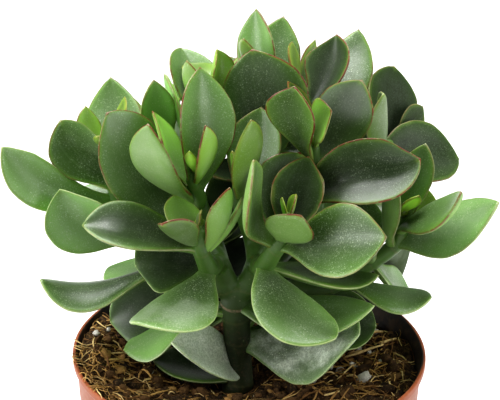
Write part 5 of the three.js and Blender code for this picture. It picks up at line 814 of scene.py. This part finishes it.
def stems():
    mat = stem_material()
    V, F, off = [], [], 0
    for name, pts in BRANCHES.items():
        c = catmull([p[:4] for p in pts], 14)
        P, R = c[:, :3], c[:, 3].copy()
        t = unit(np.gradient(P, axis=0))
        arc = np.concatenate([[0], np.cumsum(np.linalg.norm(np.diff(P, axis=0), axis=1))])
        for i in range(1, len(pts) - 1):
            if pts[i][4]:
                at = arc[i * 14]
                R += 0.20 * np.exp(-(((arc - at) - 0.4) / 1.6) ** 2) - 0.07 * np.exp(-(((arc - at) + 1.2) / 0.5) ** 2)
        u = np.array([0.9, 0.31, 0.17])
        sides = 22
        ring = []
        for i in range(len(P)):
            u = unit(u - u @ t[i] * t[i])
            w = np.cross(t[i], u)
            g = np.linspace(0, 2 * np.pi, sides, endpoint=False)
            rr = R[i] * (1 + 0.03 * np.sin(2 * g + i * 0.13) + 0.015 * np.sin(5 * g + i * 0.3))
            ring.append(P[i] + rr[:, None] * (np.cos(g)[:, None] * u + np.sin(g)[:, None] * w))
        v = np.concatenate(ring + [[P[0] - t[0] * R[0] * 0.3], [P[-1] + t[-1] * R[-1] * 0.6]])
        f = []
        m = len(P)
        for i in range(m - 1):
            for j in range(sides):
                j2 = (j + 1) % sides
                f.append((i * sides + j, i * sides + j2, (i + 1) * sides + j2, (i + 1) * sides + j))
        for j in range(sides):
            j2 = (j + 1) % sides
            f.append((m * sides, j2, j))
            f.append(((m - 1) * sides + j, (m - 1) * sides + j2, m * sides + 1))
        f = outward(v, f)
        V.append(v)
        F += [tuple(i + off for i in q) for q in f]
        off += len(v)
    V = np.concatenate(V) * MM
    me = bpy.data.meshes.new("stem_raw")
    me.from_pydata([tuple(v) for v in V], [], F)
    o = bpy.data.objects.new("stem_raw", me)
    bpy.context.scene.collection.objects.link(o)
    # one grown piece: the branches are fused and the crotches softened
    m = o.modifiers.new("fuse", "REMESH")
    m.mode = "VOXEL"
    m.voxel_size = 0.00048
    m2 = o.modifiers.new("soften", "SMOOTH")
    m2.factor = 0.5
    m2.iterations = 4
    dg = bpy.context.evaluated_depsgraph_get()
    ev = o.evaluated_get(dg).to_mesh()
    co = np.zeros(len(ev.vertices) * 3)
    ev.vertices.foreach_get("co", co)
    co = co.reshape(-1, 3)
    faces = [tuple(p.vertices) for p in ev.polygons]
    o.evaluated_get(dg).to_mesh_clear()
    bpy.data.objects.remove(o)
    bpy.data.meshes.remove(me)
    # distance along the stem from the plane of the nearest leaf node
    along = np.full(len(co), 9.0)
    scar = np.zeros(len(co))
    for name, pts in BRANCHES.items():
        c = catmull([p[:4] for p in pts], 14)
        for i in range(1, len(pts) - 1):
            if not pts[i][4]:
                continue
            p = c[i * 14, :3]
            tt = unit(c[i * 14 + 1, :3] - c[i * 14 - 1, :3])
            rel = co * 1000 - p
            h = rel @ tt
            rad = np.linalg.norm(rel - h[:, None] * tt, axis=1)
            # the scar runs a little uneven round the stem
            h = np.abs(h + 0.5 + 0.35 * np.sin(np.arctan2(rel[:, 1], rel[:, 0]) * 2 + i))
            ok = (rad < c[i * 14, 3] * 1.35 + 0.4) & (h < 4) & (h < along)
            along = np.where(ok, h, along)
            scar = np.where(ok, float(pts[i][4] - 1), scar)
    up = np.clip((co[:, 2] * 1000 - 100) / 26, 0, 1)
    A = np.stack([along, up, scar], -1)
    s = new_piece("stem_skin", co, faces, mat, dict(stem_a=A))
    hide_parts("plant_stem")


# ---- pot
POT_PROFILE = [
    (0, 0), (13.4, 0), (14, 0.15), (15.2, 2.3), (15.8, 2.6), (35.6, 2.6), (36.2, 2.3), (36.8, 0.3), (37.3, 0), (40.6, 0), (41.2, 0.2), (42.0, 1.0), (42.4, 2.2),
    (54.7, 77.3), (55.0, 78.2), (55.7, 78.9), (57.2, 79.25), (57.7, 79.6), (57.9, 80.4), (58.55, 91.0), (58.75, 91.6), (59.4, 91.9), (59.85, 92.3), (60, 92.9),
    (60, 94.3), (59.93, 94.65), (59.72, 94.88), (59.4, 95), (59.05, 94.98), (58.78, 94.8), (58.62, 94.45), (58.45, 93.6), (57.75, 92.2),
    (56.8, 80.9), (56.55, 80.2), (54.1, 78.5), (53.7, 77.7), (41.1, 5.0), (40.6, 4.3), (39.6, 4.2), (17.0, 4.2), (16.2, 4.0), (15.0, 1.9), (14.4, 1.6), (0, 1.6),
]


def pot():
    mat = pot_material()
    sides = 144
    prof = []
    for (r0, z0), (r1, z1) in zip(POT_PROFILE, POT_PROFILE[1:]):
        seg = math.hypot(r1 - r0, z1 - z0)
        k = max(1, min(9, int(seg / 6)))
        for i in range(k):
            prof.append((r0 + (r1 - r0) * i / k, z0 + (z1 - z0) * i / k))
    prof.append(POT_PROFILE[-1])
    V, F = [(0, 0, prof[0][1])], []
    rng = np.random.default_rng(SEED + 4)
    ph = rng.uniform(0, 6.28, 4)
    for r, z in prof[1:-1]:
        for j in range(sides):
            a = 2 * math.pi * j / sides
            k = 1.0 - (0.0012 * (1 + math.sin(3 * a + ph[0])) + 0.0006 * (1 + math.sin(7 * a + ph[1]))) * min(1, z / 60)
            V.append((r * k * math.cos(a), r * k * math.sin(a), z))
    V.append((0, 0, prof[-1][1]))
    m = len(prof) - 2
    for j in range(sides):
        j2 = (j + 1) % sides
        F.append((0, 1 + j2, 1 + j))
        for i in range(m - 1):
            F.append((1 + i * sides + j, 1 + i * sides + j2, 1 + (i + 1) * sides + j2, 1 + (i + 1) * sides + j))
        F.append((1 + (m - 1) * sides + j, 1 + (m - 1) * sides + j2, len(V) - 1))
    F = outward(np.array(V), F)
    me = bpy.data.meshes.new("pot_raw")
    me.from_pydata([tuple(c * MM for c in v) for v in V], [], F)
    o = bpy.data.objects.new("pot_raw", me)
    bpy.context.scene.collection.objects.link(o)
    bm = bmesh.new()
    for i in range(5):
        a = (i + 0.5) / 5 * 2 * math.pi
        bmesh.ops.create_cone(bm, cap_ends=True, segments=28, radius1=0.0036, radius2=0.0036, depth=0.006,
                              matrix=Matrix.Translation((0.026 * math.cos(a), 0.026 * math.sin(a), 0.0034)))
    hm = bpy.data.meshes.new("holes")
    bm.to_mesh(hm)
    bm.free()
    ho = bpy.data.objects.new("holes", hm)
    bpy.context.scene.collection.objects.link(ho)
    md = o.modifiers.new("drain", "BOOLEAN")
    md.operation = "DIFFERENCE"
    md.solver = "EXACT"
    md.object = ho
    dg = bpy.context.evaluated_depsgraph_get()
    ev = o.evaluated_get(dg).to_mesh()
    bm = bmesh.new()
    bm.from_mesh(ev)
    o.evaluated_get(dg).to_mesh_clear()
    bmesh.ops.remove_doubles(bm, verts=bm.verts, dist=0.00002)
    bmesh.ops.dissolve_degenerate(bm, edges=bm.edges, dist=0.00001)
    bm.verts.index_update()
    co = np.array([tuple(v.co) for v in bm.verts])
    faces = [tuple(v.index for v in f.verts) for f in bm.faces]
    bm.free()
    for x in (o, ho):
        bpy.data.objects.remove(x)
    rr, z = np.hypot(co[:, 0], co[:, 1]) * 1000, co[:, 2] * 1000
    # the rim's crest, which gets a painted highlight
    crest_highlight = np.clip((z - 93.6) / 1.2, 0, 1)
    wall = np.interp(z, [0, 4, 78, 80, 92, 95], [38, 41.6, 54.3, 57.1, 58.2, 58.9])
    inside = ((rr < wall) & (z > 1.0)).astype(float)
    A = np.stack([crest_highlight, inside, z / 95], -1)
    p = new_piece("pot_moulding", co, faces, mat, dict(pot_a=A))
    # the drain holes keep crisp edges
    p.data.set_sharp_from_angle(angle=math.radians(38))
    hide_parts("pot")


# ---- soil
def soil_height(x, y):
    r = np.hypot(x, y)
    z = 85 + np.sin(x * 0.13 + 1) * np.cos(y * 0.11)
    for a, cx, cy, sx, sy in SOIL_FORM:
        z = z + a * np.exp(-((x - cx) ** 2 / (2 * sx * sx) + (y - cy) ** 2 / (2 * sy * sy)))
    t = np.clip((r - 50) / 7, 0, 1)
    return np.minimum(z - 1.8 * t * t * (3 - 2 * t), 94.2)


NOISES = [value_noise(np.random.default_rng(SEED + 20 + i)) for i in range(5)]


def soil_top(x, y):
    """Height of the soil's surface in mm, with clods and pits."""
    z = soil_height(x, y)
    z = z + 1.1 * NOISES[0](x / 9.0 + 40, y / 9.0 + 40) + 0.9 * NOISES[1](x / 4.1 + 30, y / 4.1 + 9) + 0.5 * NOISES[2](x / 1.9 + 70, y / 1.9 + 70)
    z = z + 0.28 * NOISES[3](x / 0.95 + 200, y / 0.95 + 200)
    r = np.hypot(x, y)
    low = np.where(x > 0, 2.2, 0.9)
    z = z - low * np.clip((r - 55.0) / 2.2, 0, 1) ** 1.5 * np.clip(0.5 + NOISES[4](x / 6.0 + 5, y / 6.0 + 5), 0, 1)
    # heaped against the rim at the left
    d = np.abs(np.abs(np.arctan2(y, x)) - np.pi)
    z = z + 1.7 * np.exp(-(d / 0.52) ** 2) * np.clip((r - 42) / 9, 0, 1)
    q = np.hypot(x + 4, y - 1)
    return z - 0.9 * np.exp(-(q / 9.0) ** 2)


def soil():
    mat = soil_material()
    sides, rings = 420, 150
    inner = lambda z: np.interp(z, [4.2, 78, 80.2, 92], [41.0, 53.7, 56.7, 57.6]) - 0.3
    V, F = [], []
    x0, y0 = -3.8, 1.0
    q = np.linspace(0, 1, rings)
    hole = 4.9
    ang = np.linspace(0, 2 * np.pi, sides, endpoint=False)
    rim = 56.6
    ring_rows = []
    for i in range(rings):
        t = q[i]
        hx, hy = x0 + hole * np.cos(ang), y0 + hole * np.sin(ang)
        ox, oy = rim * np.cos(ang), rim * np.sin(ang)
        x, y = hx * (1 - t) + ox * t, hy * (1 - t) + oy * t
        z = soil_top(x, y)
        if i == rings - 1:
            lim = inner(z) / rim
            x, y = x * lim, y * lim
        ring_rows.append(np.stack([x, y, z], -1))
    # down the wall of the pot, across the bottom and up round the stem
    for r, z in ((None, 79.5), (53.3, 77.5), (47.5, 45.0), (41.5, 7.0), (40.5, 4.5), (15.6, 4.5), (13.2, 2.0), (6.0, 2.0)):
        rad = inner(np.array(z)) if r is None else r
        ring_rows.append(np.stack([rad * np.cos(ang), rad * np.sin(ang), np.full(sides, float(z))], -1))
    V = np.concatenate(ring_rows + [[[0, 0, 2.0]]])
    n = len(ring_rows)
    for i in range(n - 1):
        for j in range(sides):
            j2 = (j + 1) % sides
            F.append((i * sides + j, i * sides + j2, (i + 1) * sides + j2, (i + 1) * sides + j))
    for j in range(sides):
        F.append(((n - 1) * sides + j, (n - 1) * sides + (j + 1) % sides, n * sides))
    # floor of the socket round the stem
    base = len(V)
    sock = [[x0 + hole * math.cos(a), y0 + hole * math.sin(a), 66.0] for a in ang] + [[x0, y0, 65.0]]
    V = np.concatenate([V, sock])
    for j in range(sides):
        j2 = (j + 1) % sides
        F.append((base + j, base + j2, j2, j))
        F.append((base + sides, base + j2, base + j))
    F = outward(V, F)
    s = new_piece("soil_surface", V * MM, F, mat)
    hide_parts("soil")


def blob(rng, r, squash, detail):
    """A rough lump around the origin."""
    bm = bmesh.new()
    bmesh.ops.create_icosphere(bm, subdivisions=detail, radius=1.0)
    off = Vector(rng.uniform(-50, 50, 3))
    for v in bm.verts:
        d = v.co.normalized()
        k = 1 + 0.42 * noise.noise(d * 1.7 + off) + 0.22 * noise.noise(d * 4.1 + off)
        v.co = d * k
    V = np.array([v.co for v in bm.verts]) * r * np.array(squash)
    F = [tuple(v.index for v in f.verts) for f in bm.faces]
    bm.free()
    return V, F


def rotation(rng, flat=False):
    a = rng.uniform(0, 2 * np.pi)
    tilt = rng.normal(0, 0.35) if flat else rng.uniform(0, np.pi)
    b = rng.uniform(0, 2 * np.pi)
    return np.array((Matrix.Rotation(a, 3, "Z") @ Matrix.Rotation(tilt, 3, "X") @ Matrix.Rotation(b, 3, "Z")))


def on_soil(rng, rmax=55.5):
    while True:
        r, a = rmax * math.sqrt(rng.uniform()), rng.uniform(0, 2 * math.pi)
        x, y = r * math.cos(a), r * math.sin(a)
        if math.hypot(x + 4, y - 1) > 7:
            return x, y


def crumbs():
    mat = crumb_material()
    rng = np.random.default_rng(SEED + 50)
    kinds = [blob(rng, 1.0, (1, 1, 1), 2) for _ in range(14)]
    V, F, A, off = [], [], [], 0
    for i in range(1500):
        x, y = on_soil(rng, 56.0)
        size = float(np.clip(rng.lognormal(-0.15, 0.5), 0.35, 2.6))
        chip = rng.uniform() < 0.28
        v, f = kinds[rng.integers(len(kinds))]
        sq = np.array([1.0, rng.uniform(0.5, 0.9), rng.uniform(0.22, 0.4)]) * 1.5 if chip else np.array([1, rng.uniform(0.7, 1), rng.uniform(0.6, 1)])
        v = (v * sq * size) @ rotation(rng, flat=chip).T
        z = float(soil_top(np.array(x), np.array(y))) + size * 0.25
        room = 56.6 - math.hypot(x, y)
        if room < size * 1.3:
            continue
        V.append(v + [x, y, z])
        F += [tuple(k + off for k in q) for q in f]
        A.append(np.tile([rng.uniform(), rng.uniform() if chip else 0.0, 0], (len(v), 1)))
        off += len(v)
    new_piece("soil_crumbs", np.concatenate(V) * MM, F, mat, dict(bit=np.concatenate(A)))


# fibres and perlite that stand out in view: start and end, mm
FIBRES = [((-39.3, 4.6), (-43.1, -10.8), 0.42), ((-36.7, 8.3), (-34.4, -3.6), 0.34), ((-38.0, 6.8), (-35.1, -3.7), 0.32), ((-53.0, 5.6), (-53.2, -7.7), 0.30),
          ((-56.0, 21.5), (-49.5, 14.0), 0.30), ((43.4, 13.0), (51.0, 17.0), 0.5), ((46.0, 27.0), (43.0, 33.0), 0.45), ((33.0, 8.0), (46.0, 9.5), 0.5), ((30.0, -3.0), (39.0, 5.0), 0.35),
          ((36.0, 20.0), (49.0, 24.5), 0.55), ((-50.0, 16.0), (-38.0, 20.0), 0.45), ((-51.0, 10.0), (-44.0, 4.0), 0.4), ((-47.0, -2.0), (-40.0, 2.0), 0.4)]
PERLITE = [(-52.8, 10.6, 1.3), (-48.7, 12.2, 1.0), (21.1, -5.3, 2.3), (38.7, -6.8, 2.6), (38.1, 12.2, 1.2), (41.5, 9.4, 1.2), (35.7, 4.2, 1.5), (45.3, 2.4, 1.1), (31.3, 4.1, 1.7), (28.0, 6.0, 1.3), (37.0, 23.0, 1.2)]


def fibre_tube(P, R, sides=6):
    t = unit(np.gradient(P, axis=0))
    u = unit(np.cross(t[0], [0.21, 0.35, 0.9]))
    rows = []
    for i in range(len(P)):
        u = unit(u - u @ t[i] * t[i])
        w = np.cross(t[i], u)
        g = np.linspace(0, 2 * np.pi, sides, endpoint=False)
        rows.append(P[i] + R[i] * (np.cos(g)[:, None] * u + np.sin(g)[:, None] * w))
    V = np.concatenate(rows + [[P[0] - t[0] * R[0]], [P[-1] + t[-1] * R[-1]]])
    F, m = [], len(P)
    for i in range(m - 1):
        for j in range(sides):
            j2 = (j + 1) % sides
            F.append((i * sides + j, i * sides + j2, (i + 1) * sides + j2, (i + 1) * sides + j))
    for j in range(sides):
        j2 = (j + 1) % sides
        F.append((m * sides, j2, j))
        F.append(((m - 1) * sides + j, (m - 1) * sides + j2, m * sides + 1))
    return V, F


def fibres():
    mat = fibre_material()
    rng = np.random.default_rng(SEED + 80)
    V, F, A, off, parts = [], [], [], 0, []
    jobs = []
    for a, b, r in FIBRES:
        jobs.append((np.array(a), np.array(b), r, 0.9, 0.95))
    for i in range(75):
        # loose fibres and chaff that spill over the rim
        g = math.radians(float(rng.uniform(181, 219)))
        r0, ln = float(rng.uniform(51.5, 58.5)), float(rng.uniform(2.5, 8.0))
        h = g + float(rng.normal(0.0, 1.3))
        a = np.array([r0 * math.cos(g), r0 * math.sin(g)])
        jobs.append((a, a + ln * np.array([math.cos(h), math.sin(h)]), float(rng.uniform(0.10, 0.26)), rng.uniform(), rng.uniform()))
    spill = len(jobs)
    for i in range(1650):
        x, y = on_soil(rng, 56.0)
        ln = float(np.clip(rng.lognormal(1.65, 0.5), 2.2, 18))
        g = rng.uniform(0, 2 * np.pi)
        a = np.array([x, y])
        b = a + ln * np.array([math.cos(g), math.sin(g)])
        # more fibre at the left and right of the view, dark peat in the middle
        if rng.uniform() > 0.28 + 0.72 * min(1, (abs(x + 2) / 36) ** 2):
            continue
        jobs.append((a, b, float(np.clip(rng.lognormal(-1.70, 0.45), 0.09, 0.45)), rng.uniform() ** 1.2, rng.uniform()))
    for n, (a, b, r, tone, light) in enumerate(jobs):
        over = len(FIBRES) <= n < spill
        ln = np.linalg.norm(b - a)
        k = max(4, min(10, int(ln / 1.8)))
        q = np.linspace(0, 1, k)
        side = np.array([-(b - a)[1], (b - a)[0]]) / ln
        bow = rng.normal(0, 0.07) * ln
        bow2 = rng.normal(0, 0.05) * ln
        xy = a + (b - a) * q[:, None] + side * (bow * 4 * q * (1 - q) + bow2 * np.sin(2 * np.pi * q))[:, None]
        rr = np.hypot(xy[:, 0], xy[:, 1])
        lim = 60.2 if over else 57.0
        xy = xy * np.minimum(1, lim / rr)[:, None]
        z = soil_top(xy[:, 0], xy[:, 1])
        if over:
            # they lie on the rim where they reach it
            rr = np.hypot(xy[:, 0], xy[:, 1])
            z = np.maximum(z, np.interp(rr, [53.0, 57.5, 60.2], [90.0, 95.0, 95.1]))
        z = np.convolve(np.pad(z, 2, mode="edge"), np.ones(5) / 5, mode="valid") + r * 0.8 + 0.35
        z = z + abs(rng.normal(0, 0.6)) * np.sin(np.pi * q) + max(0, rng.normal(-0.6, 1.0)) * q ** 2 * 2.2
        P = np.column_stack([xy, z])
        if k > 2 and (np.hypot(P[:, 0] + 4, P[:, 1] - 1) < 6.2).any():
            continue
        R = r * (0.55 + 0.45 * np.sin(np.pi * np.clip(q, 0.06, 0.94))) * rng.uniform(0.9, 1.1, k)
        v, f = fibre_tube(P, R, 5)
        V.append(v)
        F += [tuple(i + off for i in g_) for g_ in f]
        A.append(np.tile([tone, 0.0, light], (len(v), 1)))
        off += len(v)
        if off > 48000:
            parts.append((V, F, A))
            V, F, A, off = [], [], [], 0
    if V:
        parts.append((V, F, A))
    for n, (V, F, A) in enumerate(parts):
        new_piece("soil_coir_fibres_%d" % (n + 1), np.concatenate(V) * MM, F, mat, dict(bit=np.concatenate(A)))


def perlite():
    mat = perlite_material()
    rng = np.random.default_rng(SEED + 110)
    V, F, off = [], [], 0
    spots = list(PERLITE)
    for i in range(34):
        x, y = on_soil(rng, 51)
        spots.append((x, y, float(rng.uniform(0.5, 1.5))))
    for x, y, size in spots:
        v, f = blob(rng, size, (1, rng.uniform(0.7, 0.95), rng.uniform(0.6, 0.85)), 3)
        v = v @ rotation(rng).T
        z = float(soil_top(np.array(x), np.array(y))) + size * 0.45
        V.append(v + [x, y, z])
        F += [tuple(k + off for k in q) for q in f]
        off += len(v)
    new_piece("soil_perlite", np.concatenate(V) * MM, F, mat)


# --------------------------------------------------------------- camera, light
def studio():
    el, ro = math.radians(24.371), math.radians(0.9)
    fwd = np.array([0, math.cos(el), -math.sin(el)])
    right = np.array([1.0, 0, 0])
    up = np.cross(right, fwd)
    r = math.cos(ro) * right + math.sin(ro) * up
    u = -math.sin(ro) * right + math.cos(ro) * up
    pos = (np.array([-0.611, 0, 150.216]) - 700 * fwd) * MM
    cam = bpy.data.cameras.new("camera")
    cam.sensor_fit = "HORIZONTAL"
    cam.sensor_width = 36
    cam.lens = 2126.55 / 500 * 36
    cam.clip_start = 0.01
    co = bpy.data.objects.new("camera", cam)
    M = Matrix.Identity(4)
    for i in range(3):
        M[i][0], M[i][1], M[i][2], M[i][3] = r[i], u[i], -fwd[i], pos[i]
    co.matrix_world = M
    bpy.context.scene.collection.objects.link(co)
    bpy.context.scene.camera = co

    t = Tree("pale_floor")
    n = t.noise(6, 2.0, 0.5)
    t.set(Base_Color=t.mix(n, (0.86, 0.86, 0.86), (0.88, 0.88, 0.88)), Roughness=0.7)
    t.bsdf.inputs["Specular IOR Level"].default_value = 0.2
    me = bpy.data.meshes.new("floor")
    me.from_pydata([(-4, -3, 0), (4, -3, 0), (4, 6, 0), (-4, 6, 0)], [], [(0, 1, 2, 3)])
    me.materials.append(t.mat)
    fl = bpy.data.objects.new("floor", me)
    bpy.context.scene.collection.objects.link(fl)

    w = bpy.data.worlds.new("studio")
    bpy.context.scene.world = w
    w.use_nodes = True
    bg = w.node_tree.nodes["Background"]
    bg.inputs[0].default_value = (1.0, 1.0, 1.0, 1)
    bg.inputs[1].default_value = WORLD

    def area(name, at, aim, size, power, color=(1, 1, 1)):
        l = bpy.data.lights.new(name, "AREA")
        l.shape = "RECTANGLE"
        l.size, l.size_y = size
        l.energy = power
        l.color = color
        o = bpy.data.objects.new(name, l)
        o.location = at
        o.rotation_euler = (Vector(aim) - Vector(at)).to_track_quat("-Z", "Y").to_euler()
        bpy.context.scene.collection.objects.link(o)

    for args in LIGHTS:
        area(*args)
    bpy.context.scene.view_settings.view_transform = "Standard"
    bpy.context.scene.view_settings.look = LOOK
    bpy.context.scene.view_settings.exposure = EXPOSURE


WORLD = 0.28
EXPOSURE = 0.0
LOOK = "Medium High Contrast"
LIGHTS = [
    ("left_softbox", (-0.90, -0.24, 0.50), (0, 0, 0.12), (0.8, 0.8), 10.5),
    ("right_softbox", (0.95, -0.25, 0.40), (0, 0, 0.12), (0.8, 0.8), 7.0),
    ("top_softbox", (-0.10, 0.35, 1.0), (0, 0, 0.12), (0.7, 0.7), 13.0),
]

studio()
pot()
soil()
crumbs()
fibres()
perlite()
stems()
leaves()
